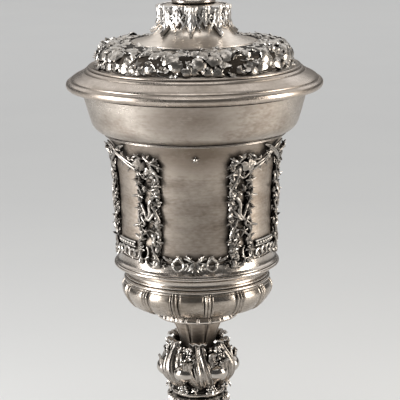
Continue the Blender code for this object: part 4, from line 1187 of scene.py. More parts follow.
@dataclass
class Stem(Assembly):
    """The leafy baluster, the ring, the knop with its leaves and fruits, and the fluted neck."""

    baluster: Span = spanned("lower_stem")
    torus: Span = spanned("knop_torus")
    core: Span = spanned("knop_core")
    neck: Span = spanned("fluted_neck")
    stem_radius: float = 11.2 * MM
    core_radius: float = 16.4 * MM
    neck_radius: float = 10.4 * MM
    fruit_radius: float = 4.6 * MM
    ledge: float = 2.6 * MM
    leaves: int = 6
    first_leaf: float = 8.0
    flutes: int = 8
    first_flute: float = 22.5
    seed: int = 8

    def build(self) -> None:
        """Builds and dresses every piece of the stem."""
        self.build_baluster()
        self.build_torus()
        self.build_core()
        self.build_neck()
        self.build_leaves()
        self.build_fruits()

    def leaf_turns(self, first: float) -> np.ndarray:
        """The leaves' angles after a first one."""
        return first + 360 / self.leaves * np.arange(self.leaves)

    def build_baluster(self) -> None:
        """Builds the ribbed baluster and the leaf tips that curl out at its top."""
        span, radius = self.baluster, self.stem_radius
        outline = span.outline(0, radius).at((self.bore, span.low)).to((1.1, 0)).bead(1.06, 0.11, 0.9, 6)
        outline.curve_at(*(outline.place(*knot) for knot in ((0.98, 0.2), (1.12, 0.42), (1.4, 0.62),
                                                             (1.6, 0.8), (1.5, 0.93))),
                         (self.torus.radius - self.ledge, span.high)).at((self.bore, span.high))

        def ribs(wall: Wall) -> np.ndarray:
            """Fine ribs that gather into leaves.

            Args:
                wall: The section's points.

            Returns:
                How far they move out.
            """
            rise = np.clip((wall.heights - span.level(0.15)) / (0.3 * span.height), 0, 1)
            fine = np.cos(np.radians(wall.turn * 18 - 30)) * 0.35
            wave = fine + np.cos(np.radians((wall.turn - self.first_leaf) * self.leaves)) * 0.5
            return MM * (rise * (wall.heights < span.level(0.97))) * wave * (wall.radii > 0.9 * radius)

        shape = turned(outline, 216, ribs)
        tip = CurlingLeaf(span, self.core_radius, *BALUSTER_TIP, per_span=4)
        small = CurlingLeaf(span, self.core_radius, *BALUSTER_SEPAL, per_span=4, columns=15)
        shape.copies(tip.shape(), self.leaf_turns(self.first_leaf))
        shape.copies(small.shape(), self.leaf_turns(self.first_leaf + 30))
        self.add("leafy_baluster", shape, Finish.CAST, "lower_stem")

    def build_torus(self) -> None:
        """Builds the ring under the knop with a line each side of its roll."""
        span = self.torus
        outline = span.outline(span.radius - self.ledge).at((self.bore, span.low)).to((0, 0), (0.9, 0.08))
        outline.bead(0.9, 0.84, 1, 12).to((0.2, 0.86)).bead(-0.2, 1, 0.9, 5).at((self.bore, span.high))
        self.add("ring_under_knop", turned(outline, 160), Finish.BRIGHT, "knop_torus")

    def build_core(self) -> None:
        """Builds the knop's core, near-black as painted shade in the hollows between the leaves."""
        span, radius = self.core, self.core_radius
        waist = 0.4 * radius + 0.6 * self.neck_radius
        line = flowing([(0.82 * radius, span.low), (0.965 * radius, span.level(0.18)),
                        (radius, span.level(0.36)), (0.965 * radius, span.level(0.58)),
                        (waist, span.level(0.84)), (self.neck_radius, span.high)], 5)
        outline = Outline().at((self.bore, span.low), *line, (self.bore, span.high))
        self.add("knop_centre", turned(outline, 120), Finish.BED, "knop_core")

    def build_neck(self) -> None:
        """Builds the flaring neck with flat flutes and wedge grooves that widen upwards."""
        span, radius = self.neck, self.neck_radius
        outline = span.outline(0, radius).at((self.bore, span.low)).to((1, 0))
        outline.curve((1.14, 0.34), (1.34, 0.64), (1.6, 0.93), (1.68, 0.985), per_span=8)
        outline.to((1.6, 1)).at((self.bore, span.high))

        def flutes(wall: Wall) -> np.ndarray:
            """Deep grooves, narrow at the foot and wide under the disc.

            Args:
                wall: The section's points.

            Returns:
                How far they move out.
            """
            away = np.abs(apart(wall.turn, self.first_flute, 360 / self.flutes))
            share = np.clip((wall.heights - span.low) / span.height, 0, 1)
            half = 1.6 + 3.6 * share**1.3
            depth = (0.5 + 1.3 * share) * MM * np.clip((1 - share) * 9, 0.25, 1)
            cut = -depth * (1 / (1 + (away / half) ** 6)) + 0.12 * MM * np.cos(away * 0.14)
            return cut * (wall.radii > 0.9 * radius)

        self.add("neck_over_knop", turned(outline, 288, flutes), Finish.PANEL, "fluted_neck")

    def build_leaves(self) -> None:
        """Builds the six big leaves, each a blade that curls out at its top and a wing at each side."""
        shape = Shape()
        for blade in KNOP_BLADES:
            shape.copies(CurlingLeaf(self.core, self.core_radius, *blade).shape(), (0,))
        mesh = shape.mesh("knop_acanthus")
        for count, turn in enumerate(self.leaf_turns(self.first_leaf), 1):
            self.add(f"knop_acanthus_{count}", mesh, Finish.LEAF, f"knop_leaf_{count}", turn=turn)

    def build_fruits(self) -> None:
        """Builds the glossy fruits with the hanging grapes, small leaves and berries about them."""
        chance = np.random.default_rng(self.seed)
        uniform = chance.uniform
        shape = Shape()
        tipped = np.array([[1.0, 0.0, 0.0], [0.0, 0.25, 0.97], [0.0, -0.97, 0.25]])

        def spot(angle: float, radius: float, share: float) -> np.ndarray:
            """A point from degrees, millimetres and a share of the core's height."""
            return around(angle, radius * MM, self.core.level(share))

        def berry(at: np.ndarray, size: float, tall: float = 1.0) -> None:
            """Adds a small round berry."""
            shape.grid(lump(at, (size * MM, size * MM, size * tall * MM), 6, 9), caps=True)

        fruit = spot(-4, 1000 * (self.core_radius + self.fruit_radius), 0.53)
        shape.grid(lump(fruit, (7.4 * MM, 5.6 * MM, 5.9 * MM), 14, 24, tipped), caps=True)
        for angle, share, size in SMALL_FRUITS:
            sizes = (size * MM, 1.6 * MM, 0.8 * size * MM)
            shape.grid(lump(spot(angle, 20.6 + 2 * (0.8 - share), share), sizes, 8, 14, tipped), caps=True)
        for number in range(34):
            share = (number // 3) / 11
            swell = math.sin(math.pi * (0.15 + 0.8 * share)) * 6.5
            berry(spot(3 - 9 * share + swell * (number % 3 - 1) + uniform(-1.2, 1.2),
                       19.4 + 1.4 * share + uniform(-0.4, 0.5), 1.16 - 0.5 * share + uniform(-0.02, 0.02)),
                  uniform(0.75, 1))
        for number in range(7):
            share = number / 6
            berry(spot(14 + 3.5 * math.sin(2.2 * share), 20.8 - 2.6 * share, 0.66 - 0.58 * share), 0.9, 1.5)
        for number in range(15):
            row, place = divmod(number, 4)
            berry(spot(-13 + (place - 1.5 + 0.5 * (row % 2)) * 5.2 + uniform(-0.8, 0.8),
                       18.9 - 0.5 * abs(row - 1.5) + uniform(-0.3, 0.4),
                       -0.02 + 0.055 * row), uniform(0.85, 1.1))
        for angle, share, size, spin in KNOP_THORNS:
            leaf = THORNY.points(chance) * size * MM
            leaf = leaf @ tilted(spin, uniform(-25, 35), uniform(-30, 30))
            flat = np.stack([leaf[..., 0], -leaf[..., 2], leaf[..., 1]], axis=-1)
            shape.grid(spot(angle, 20.8 - 2.2 * abs(share - 0.5), share) + flat, caps=True)
        mesh = shape.mesh("knop_boss")
        for count, turn in enumerate(self.leaf_turns(self.first_leaf - 28), 1):
            self.add(f"knop_boss_{count}", mesh, Finish.GLOSS, f"knop_fruit_{count}", turn=turn)


@dataclass
class Bowl(Assembly):
    """The segmented disc, the gadrooned bulge, the flange, the barrel and the flared lip."""

    disc: Span = spanned("facet_disc")
    bulge: Span = spanned("gadrooned_bulge")
    flange: Span = spanned("flange_ring")
    barrel: Span = spanned("barrel")
    lip: Span = spanned("flared_lip")
    step: Span = spanned("step_wire")
    edge_wire: Span = spanned("lip_wire")
    barrel_radius: float = 48.1 * MM
    flange_bore: float = 42.5 * MM
    drain: float = 0.4 * MM
    lobes: int = 14
    first_rib: float = 8.3
    facets: int = 20
    first_facet: float = 0.7

    def build(self) -> None:
        """Builds and dresses every piece of the bowl."""
        self.build_disc()
        self.build_bulge()
        self.build_flange()
        self.build_barrel()
        self.build_lip()

    def build_disc(self) -> None:
        """Builds the disc under the bowl, cut into segments by double lines."""
        disc, rim, pitch = self.disc, self.disc.radius, 360 / self.facets
        outline = disc.outline(0, rim).at((self.bore, disc.low)).to((0.8, 0))
        outline.curve((0.95, 0.04), (1, 0.3), (0.985, 0.62), (0.95, 1)).at((self.bore, disc.high))
        offsets = np.array([-8.0, *mirrored((0.0, 0.4, 0.8, 1.2, 1.5, 1.9, 2.4, 3.0, 4.5, 6.5))])
        angles = (self.first_facet + even(self.facets)[:, None] + offsets[None, :]).ravel()

        def segments(wall: Wall) -> np.ndarray:
            """Two lines and a small crown between them.

            Args:
                wall: The section's points.

            Returns:
                How far they move out.
            """
            away = np.abs(apart(wall.turn, self.first_facet, pitch))
            cut = -0.5 * MM * bump(away - 1.3, 0.55) + 0.25 * MM * (1 - (away * 2 / pitch) ** 4)
            return cut * (wall.radii > 0.85 * rim)

        self.add("disc_under_bowl", turned(outline, angles, segments), Finish.BRIGHT, "facet_disc")

    def build_bulge(self) -> None:
        """Builds the wide lobes, with two rods and fine lines between each two."""
        span, pitch = self.bulge, 360 / self.lobes
        rim = span.radius - 0.6 * MM
        outline = span.outline(rim).at((rim - 1.6 * MM, span.high)).bead(-1.1, 0.93, 0.5, 4)
        outline.curve((0, 0.78), (-0.9, 0.55), (-5.4, 0.25), (-11, 0.15), (-17.2, 0.09), per_span=8)
        outer_rows = len(outline.points) - 1
        outline.at((self.disc.radius - 0.8 * MM, span.low), (self.bore, span.low),
                   (self.bore, span.low + self.wall))
        outline.curve_at((rim - 15.4 * MM, span.low + 2.8 * self.wall), outline.place(-8, 0.3),
                         (rim - 4.3 * MM, span.high))
        offsets = mirrored((0, 0.25, 0.5, 0.8, 1.1, 1.4, 1.7, 2, 2.25, 2.45, 2.65, 2.85, 3.1, 3.5, 3.9, 4.15,
                            4.4, 4.65, 5, 6, 7.5, 9.2, 11))
        angles = (self.first_rib + even(self.lobes)[:, None] + offsets[None, :]).ravel()

        def ribs(wall: Wall) -> np.ndarray:
            """Two rods with dark lines beside them, a fine inner line, and a crowned lobe.

            Args:
                wall: The section's points.

            Returns:
                How far they move out.
            """
            away = np.abs(apart(wall.turn, self.first_rib, pitch))
            rods = 0.75 * MM * bump(away - 1.35, 0.85) - 0.15 * MM * bump(away, 0.4)
            lines = -0.65 * MM * bump(away - 2.65, 0.42) - 0.28 * MM * bump(away - 4.15, 0.3)
            lobe = 0.55 * MM * np.cos(np.clip((0.5 * pitch - away) / (0.5 * pitch - 2.8), 0, 1) * 1.35)
            fade = np.clip((span.high - wall.heights) / (0.07 * span.height), 0, 1) ** 0.6
            outside = (np.arange(len(wall.radii)) <= outer_rows)[:, None]
            return (rods + lines + lobe) * fade * outside

        self.add("bowl_bulge", turned(outline, angles, ribs), Finish.LOBED, "gadrooned_bulge")

    def flange_outline(self) -> Outline:
        """The flange's section: two ridges, a cove, the edge bead, a fillet and the slope.

        Returns:
            The section from its foot to the slope's top.
        """
        span, foot, rim = self.flange, self.barrel_radius, self.flange.radius
        outline = span.outline(foot).at((self.flange_bore, span.low)).to((-2.3, 0)).bead(-2.6, 0.11, 0.9, 8)
        outline.to((-3, 0.125)).bead(-3.3, 0.21, 0.9, 7).to((-3.7, 0.22))
        outline.curve_at(outline.place(-3.8, 0.3), outline.place(-2.2, 0.43),
                         (rim - 1.3 * MM, span.level(0.515)))
        outline.base = rim
        outline.to((-0.9, 0.52)).bead(-0.9, 0.635, 1, 10).to((-1.3, 0.63)).bead(-1.9, 0.68, 0.9, 6)
        outline.base = foot
        return outline.curve((1.35, 0.74), (0.75, 0.84), (0.5, 1))

    def build_flange(self) -> None:
        """Builds the moulded flange."""
        outline = self.flange_outline().at((self.flange_bore, self.flange.high))
        self.add("bowl_flange", turned(outline), Finish.BRIGHT, "flange_ring")

    def barrel_line(self) -> np.ndarray:
        """The barrel's outer wall, nearly straight and then a cove.

        Returns:
            Its (radius, height) points.
        """
        share = np.linspace(0, 1, 24)
        return np.stack([self.barrel_radius + (self.barrel.radius - self.barrel_radius) * share**5,
                         self.barrel.low + self.barrel.height * share], axis=-1)

    def skin(self) -> Skin:
        """The wall that the branches lie on.

        Returns:
            The flange's slope and then the barrel.
        """
        slope = np.array(self.flange_outline().points[-12:])
        line = np.vstack([slope[slope[:, 1] < self.flange.high - 0.1 * MM], self.barrel_line()])
        return Skin(line[:, 1], line[:, 0], self.barrel_radius)

    def build_barrel(self) -> None:
        """Builds the barrel, open at the top and with its floor inside."""
        line, low = self.barrel_line(), self.barrel.low
        floor = low + self.wall
        inner = [(radius - self.wall, height) for radius, height in line[:1:-1]]
        outline = Outline().at((self.drain, low), *line, *inner)
        bore = self.barrel_radius
        outline.curve_at((bore - 1.6 * self.wall, floor + 1.4 * MM),
                         (bore - 4 * MM, floor)).at((self.drain, floor))
        self.add("drinking_barrel", turned(outline, 180, solid=True), Finish.PANEL, "barrel")

    def build_lip(self) -> None:
        """Builds the flared lip with its lined edge, and the wires at its step and at its edge."""
        span, low, wall = self.lip, self.barrel.radius, self.wall
        outline = span.outline(low, span.radius - low)
        knots = ((0.04, 0), (0.24, 0.035), (0.38, 0.085), (0.54, 0.19), (0.66, 0.38), (0.8, 0.63),
                 (0.93, 0.87))
        outer = [outline.place(*knot) for knot in knots]
        edge, top = outline.at(outer[0]).curve_at(*outer[1:], per_span=7).points[-1]
        outline.at((edge - 0.35 * MM, top + 0.25 * MM), (edge + 0.25 * MM, top + 0.6 * MM))
        outline.curve_at((span.radius - 0.4 * MM, span.level(0.96)), (span.radius, span.high))
        inner = [(radius - wall, height) for radius, height in flowing(outer, 4)[::-1]
                 if height > span.low + 2.4 * wall]
        outline.at((span.radius - wall, span.high), *inner, (low - wall, span.low + 0.9 * wall),
                   (low - wall, span.low))
        self.add("bell_lip", turned(outline, 256), Finish.SATIN, "flared_lip")
        wire = self.step.outline().to((-1.4, 0)).bead(-1.2, 0.5, 0.9, 8).bead(-1.4, 1, 0.7, 6)
        self.add("wire_at_step", turned(wire), Finish.BRIGHT, "step_wire")
        wire = self.edge_wire.outline().to((-1.5, 0)).bead(-1.35, 1, 1, 10)
        self.add("wire_at_edge", turned(wire), Finish.BRIGHT, "lip_wire")


# All of these are flat and in millimetres. A shoot is its width and its knots. Thorns are (run, height,
# size, spin), and the head's leaves have their pitch too. Twigs are (start, end, width), scrolls (run,
# height, half width, half height, radius) and curls (run, height, size). The garland's are what a casting's
# strand takes.
SHOOTS = (
    (1.15, (-7.4, 44, 2.2), (-4.6, 40.8, 3.2), (-3.2, 36.6, 3.6), (-3.4, 31.4, 3.4), (-0.8, 28.4, 2.8),
     (2.6, 25.2, 1.8)),
    (1, (4.6, 37.6, 1.8), (2.2, 35.8, 2.8), (0.4, 32.2, 3), (-2, 27.6, 3.2), (-4.8, 30.6, 3.2),
     (-7.8, 34.8, 2.4)),
    (0.9, (4.8, 30.6, 1.8), (2.9, 28.2, 2.6), (1, 25, 2.6), (3.4, 21.6, 1.8)),
    (0.7, (-4.4, 57, 1.4), (-1.2, 53.6, 2), (2.2, 55.4, 2), (4.6, 58.6, 1.2)),
    (0.75, (-8.2, 20.4, 1.8), (-5.6, 16.2, 2.6), (-6.6, 10.4, 2.4)))
COLUMN_THORNS = (
    (3.3, 51.5, 3.9, -70), (4, 42.5, 4.3, -100), (3.4, 33.5, 4, -80), (4.2, 24, 4.4, -105),
    (3.6, 15, 4.2, -60), (4.4, 8, 4, -110), (0.2, 47, 3.4, 40), (0, 20, 3.6, 140), (-9, 50, 2.9, 95),
    (-9.2, 39, 2.6, 70), (-8.8, 26, 2.9, 110), (-9.1, 14, 2.7, 80))
HEAD_LEAVES = (
    (1.6, 62.4, 5, -150, 12), (-7.2, 64.6, 3.6, 28, 16), (-3.6, 67.4, 3, -20, 8), (-9.4, 61.4, 3, 95, 18),
    (-4.4, 59, 3.3, 170, 14), (1.6, 67.6, 2.7, -35, 8), (5.4, 65, 2.6, -80, 16), (5.6, 59.6, 2.2, -120, 18),
    (-0.8, 56.6, 2.5, -170, 16), (-7.6, 55.8, 2.6, 150, 12))
HEAD_TWIGS = (
    ((-11, 61.6), (-1.6, 68.2), 0.8), ((-10.4, 67.6), (-3.6, 63.4), 0.7), ((-11.6, 55.2), (-5.6, 59.6), 0.6),
    ((1.2, 69.4), (6.4, 66.4), 0.6))
FOOT_SCROLLS = ((2.7, 6.2, 3.1, 4.3, 0.85), (9.4, 3.2, 1.9, 2.6, 0.75), (-3.4, 1.2, 4.4, 3.4, 0.95))
FOOT_THORNS = (
    (-9.4, 1.6, 3, 100), (-6.2, 3.8, 3.1, 20), (-11, -0.8, 2.2, 130), (-4.6, -0.8, 2.6, -160),
    (0.2, 2.4, 2, -120), (6.2, 5.2, 2.2, -60), (6.4, 0.4, 1.9, 170))
ARCH_THORNS = (
    (11, 65.4, 2.4, -40), (9.6, 59, 1.9, 165), (4.6, 61.8, 2.1, 170), (-2.6, 66.6, 2, 150),
    (-6, 68.6, 2.2, 120), (4, 70.2, 2.2, -20))
GALLERY_CURLS = ((3.1, 5, 3.7), (8.3, 3.9, 3.9))
GARLAND_TWIGS = (
    (((19.2, 5, 1.7), (17.2, 3.6, 1.9), (14.6, 2.5, 2.1), (12.2, 2.7, 2.4), (10.4, 4.6, 2.6), (9.3, 5.2, 2.6),
      (8.7, 4.7, 2.6), (7.8, 2.4, 2.5), (6.7, -0.4, 2.4)),
     (0.6, 0.9, 1, 0.95, 0.9, 0.95, 0.9, 0.9, 0.6), 8, False, 0.05, 4),
    (((11.2, 2.6, 2.2), (13.2, 0.4, 2.3), (13, -0.6, 2.3), (11.2, -2.9, 2.4), (10, -3.6, 2.4),
      (8.7, -2.9, 2.4), (6.8, -1.2, 2.4), (6.7, -0.4, 2.4), (8.6, 2, 2.3), (9.8, 3.3, 2.2)),
     0.78, 8, True, 0, 3))
GARLAND_SHOOTS = (
    (((7.2, -0.2, 2.4), (4.6, 0.5, 2.7), (2, 0.8, 3.1)), (0.6, 0.8, 0.6)),
    (((6.4, 4.6, 2.2), (4.4, 4.4, 2.7), (1.4, 2.2, 3.2)), (0.3, 0.7, 0.6)))
GARLAND_THORNS = (
    (3, 4.3, 2.1, -30), (3.6, -0.9, 2.2, -115), (1.3, -2.1, 1.9, -170), (9.9, 5.6, 1.3, -40),
    (10.6, -3.2, 1.3, -150), (14.4, 3.8, 1.4, -20), (12.6, -0.6, 1.2, -100))


@dataclass
class Branches(Assembly):
    """The gnarled columns, arches, galleries, garlands and studs, three times round the barrel."""

    skin: Skin = field(default_factory=lambda: Bowl().skin())
    barrel: Span = spanned("barrel")
    panels: int = 3
    column_angle: float = 36.0
    trunk_run: float = -6.5
    rod_run: float = 4.5
    lean: float = -1.0
    stud_height: float = 67.0
    seeds: ClassVar[dict[str, int]] = {"right": 41, "left": 57, "arch": 5, "gallery": 0, "garland": 23,
                                       "stud": 3}

    def casting(self, name: str, angle: float = 0.0, hand: float = 1.0) -> Casting:
        """An empty casting on the barrel."""
        return Casting(self.skin, self.barrel.low, self.seeds[name], angle, hand)

    def column(self, hand: float) -> Shape:
        """Builds a gnarled trunk of twined stems and a knotty rod, with their shoots, leaves and head.

        Args:
            hand: 1 for the column right of a wide panel, -1 for its mirror image.

        Returns:
            The column's shape.
        """
        work = self.casting("right" if hand > 0 else "left", hand * self.column_angle, hand)
        steps = np.linspace(0, 1, 46)
        for stem in range(2):
            turn = math.tau * (1.3 * steps + stem / 2) + 0.7 * hand
            runs = self.trunk_run + (1.25 - 0.3 * steps) * np.sin(turn)
            runs = runs + 0.5 * np.sin(9 * steps + 2 * stem)
            lifts = 0.95 + 0.5 * steps + 0.5 * np.cos(turn)
            knots = np.stack([runs, -1.2 + 66.5 * steps, lifts], axis=-1)
            swell = 1.0 + 0.2 * np.sin(31 * steps + 2.1 * stem) + 0.1 * np.sin(67 * steps + stem)
            work.strand(knots, (1.7 - 0.3 * steps) * swell, 10, gnarl=0.2, per_span=2)
        radii = 1.3 + 0.3 * np.sin(43 * steps) + 0.14 * np.sin(71 * steps + 1)
        runs = self.rod_run + 0.5 * np.sin(11 * steps)
        lifts = 1.2 + 0.2 * np.sin(19 * steps)
        work.strand(np.stack([runs, 64 * steps, lifts], axis=-1), radii, 9, gnarl=0.16, per_span=2)
        for run, wide, turns, width in ((self.trunk_run, 2.3, 2.2, 0.8), (self.rod_run, 1.4, 2.8, 0.62)):
            turn = math.tau * turns * steps + 1.1 * hand
            knots = np.stack([run + wide * np.sin(turn), 1 + 61 * steps, 2.3 + 0.9 * np.cos(turn)], axis=-1)
            work.strand(knots, width, 8, per_span=2)
        self.add_shoots(work)
        self.add_leaves(work)
        self.add_head(work)
        self.add_scrolls(work)
        return work.shape

    def add_shoots(self, work: Casting) -> None:
        """Adds the smooth shoots that cross half-way up, between the trunk and the rod.

        Args:
            work: The column.
        """
        for width, *shoot in SHOOTS:
            work.strand(shoot, [0.6 * width] + [width] * (len(shoot) - 2) + [0.5 * width], 9, gnarl=0.06)

    def add_leaves(self, work: Casting) -> None:
        """Adds the pointed leaves and knots that roughen the trunk and the rod.

        Args:
            work: The column.
        """
        uniform, count = work.chance.uniform, 21
        for run, size, lift, bias in ((self.trunk_run, 3.8, 2.2, 0.15), (self.rod_run, 2.7, 1.7, 0)):
            for number in range(count):
                side = 1.0 if number % 2 else -1.0
                spot = (run + size * (bias + side * uniform(0.15, 0.6)),
                        2 + 60 * number / count + uniform(-0.7, 0.7),
                        lift + uniform(-0.3, 0.5) - 1.4 * (1 - number / count))
                turn = (side * uniform(20, 150), uniform(-5, 42), uniform(-38, 38))
                work.leaf((BARK, THORNY)[number // 2 % 2], spot, size * uniform(0.75, 1.1), turn)
            for number in range(0, count, 3):
                spot = (run + uniform(-0.6, 0.6) * size, 62 * number / count, lift + 0.1)
                sizes = np.array([1.0, 1.35, 0.9]) * uniform(0.3, 0.46) * size
                work.bead(spot, sizes, 6, 9, tilted(uniform(-60, 60), 0, 0))
        work.thorns(COLUMN_THORNS, 2.5, (4, 22), 18, rise=0.01)

    def add_head(self, work: Casting) -> None:
        """Adds the larger leaves and crossed twigs at the column's head.

        Args:
            work: The column.
        """
        for number, (run, height, size, spin, pitch) in enumerate(HEAD_LEAVES):
            spot = (run, height, work.chance.uniform(1.7, 2.7))
            work.leaf(IVY if number in (0, 4) else THORNY, spot, size,
                      (spin, pitch, work.chance.uniform(-26, 26)))
        for start, end, width in HEAD_TWIGS:
            middle = (0.5 * (start[0] + end[0]), 0.5 * (start[1] + end[1]) + 0.3, 3.6)
            work.strand([(*start, 2.2), middle, (*end, 2.4)], [0.5 * width, width, 0.5 * width], 7)

    def add_scrolls(self, work: Casting) -> None:
        """Adds the open rings, the C-scroll and the leaf cluster at the column's foot.

        Args:
            work: The column.
        """
        swell = [0.55 + 0.5 * math.sin(math.pi * share) for share in np.linspace(0.06, 0.94, 14)]
        for run, height, wide, tall, width in FOOT_SCROLLS:
            curl = [(run - wide * math.cos(turn), height - tall * math.sin(turn), 1.2 + 0.1 * step)
                    for step, turn in enumerate(np.linspace(-1, 4.2, 14))]
            work.strand(curl, [width * share for share in swell], 9, per_span=3)
        work.thorns(FOOT_THORNS, 1.5, (5, 25))

    def arch(self) -> Shape:
        """Builds the double rods that cross over a narrow panel and rise to the step.

        Returns:
            The arch's shape.
        """
        work = self.casting("arch", 180 / self.panels)
        for hand in HANDS:
            work.hand = hand
            for shift, width in ((0, 1), (2.5, 0.75)):
                work.strand([(14.2 - 0.2 * shift, 58.8 + shift, 2.4), (8.6 - 0.4 * shift, 62.4 + shift, 3),
                             (2.6 - 0.6 * shift, 66.6 + 0.9 * shift, 2.7 + 0.4 * hand),
                             (-3.6 - 0.3 * shift, 70.8 + 0.6 * shift, 2.1), (-8.6, 73.6, 1.7)],
                            [width, width * 0.85, width, width * 0.8, width * 0.5], 9, gnarl=0.08)
            work.thorns(ARCH_THORNS, 2.7, (0, 24))
        return work.shape

    def gallery(self) -> Shape:
        """Builds the beaded bar over its hanging scrolls, at a narrow panel's foot.

        Returns:
            The gallery's shape.
        """
        work = self.casting("gallery", 180 / self.panels)
        half, inset = 9.6, 1.3
        for height in (11.5, 8.6):
            work.strand([(run, height, 1.6) for run in np.linspace(-half, half, 7)], 0.5, 6)
        for run in np.linspace(inset - half, half - inset, 7):
            work.bead((run, 10.05, 1.7), (1.25, 1.15, 1.1))
        for hand in HANDS:
            work.hand = hand
            for run, height, size in GALLERY_CURLS:
                curl = [(run - reach * math.cos(turn), height + reach * math.sin(turn), 2.3) for reach, turn
                        in zip(size - 0.24 * np.arange(11), np.linspace(-1.4, 4.6, 11))]
                work.strand(curl, [0.5, *[0.75] * 9, 0.6], per_span=3)
        return work.shape

    def garland(self) -> Shape:
        """Builds the rods, diamonds and thorny cross along a wide panel's foot.

        Returns:
            The garland's shape.
        """
        work = self.casting("garland")
        for hand in HANDS:
            work.hand = hand
            for knots, radii, *rest in GARLAND_TWIGS:
                work.strand(knots, radii, *rest)
            lean = 0.5 * hand
            cross = ((4.9, 6.4, 2.4), (2.4, 3.4, 3.1 + lean), (0, 1.3, 3.3 + lean), (-2, -0.9, 3.1 + lean),
                     (-3.9, -3.2, 2.6))
            work.strand(cross, (0.4, 1, 1.15, 1, 0.4), 8, gnarl=0.08, per_span=5)
            for knots, radii in GARLAND_SHOOTS:
                work.strand(knots, radii, per_span=4)
            work.thorns(GARLAND_THORNS, 2.9, (14, 14))
        work.leaf(THORNY, (0, 1.2, 4), 2.6, (24, 0, 0))
        work.bead((0, 1.2, 4.6), (1, 1, 0.8), 6, 10)
        return work.shape

    def stud(self) -> Shape:
        """Builds the small rosette at a wide panel's head.

        Returns:
            The rosette's shape.
        """
        work, reach = self.casting("stud"), 1.15
        for spin in even(5):
            turn = math.radians(spin)
            spot = (reach * math.sin(turn), self.stud_height + reach * math.cos(turn), 1.1)
            work.leaf(SPRAY, spot, 0.95, (-spin, 25, 0))
        work.bead((0, self.stud_height, 1.2), (1.15, 1.15, 1.1))
        return work.shape

    def build(self) -> None:
        """Builds and dresses every branch."""
        columns = {1: self.column(1).mesh("branch_column"),
                   -1: self.column(-1).mesh("branch_column_mirrored")}
        others = [(name, node, shape.mesh(node), finish) for name, node, shape, finish in (
            ("arch", "branch_arch", self.arch(), Finish.BRANCH),
            ("gallery", "scroll_gallery", self.gallery(), Finish.CAST),
            ("garland", "twig_garland", self.garland(), Finish.CAST),
            ("rosette", "panel_stud", self.stud(), Finish.CAST))]
        for count, turn in enumerate(even(self.panels)):
            for number, hand in ((2 * count + 1, 1), (2 * count + 2, -1)):
                self.add(f"gnarled_column_{number}", columns[hand], Finish.BRANCH, f"branch_column_{number}",
                         turn=turn + self.lean)
            for name, node, mesh, finish in others:
                self.add(f"branch_{name}_{count + 1}", mesh, finish, f"{node}_{count + 1}",
                         turn=turn + (0.0 if name == "rosette" else self.lean))


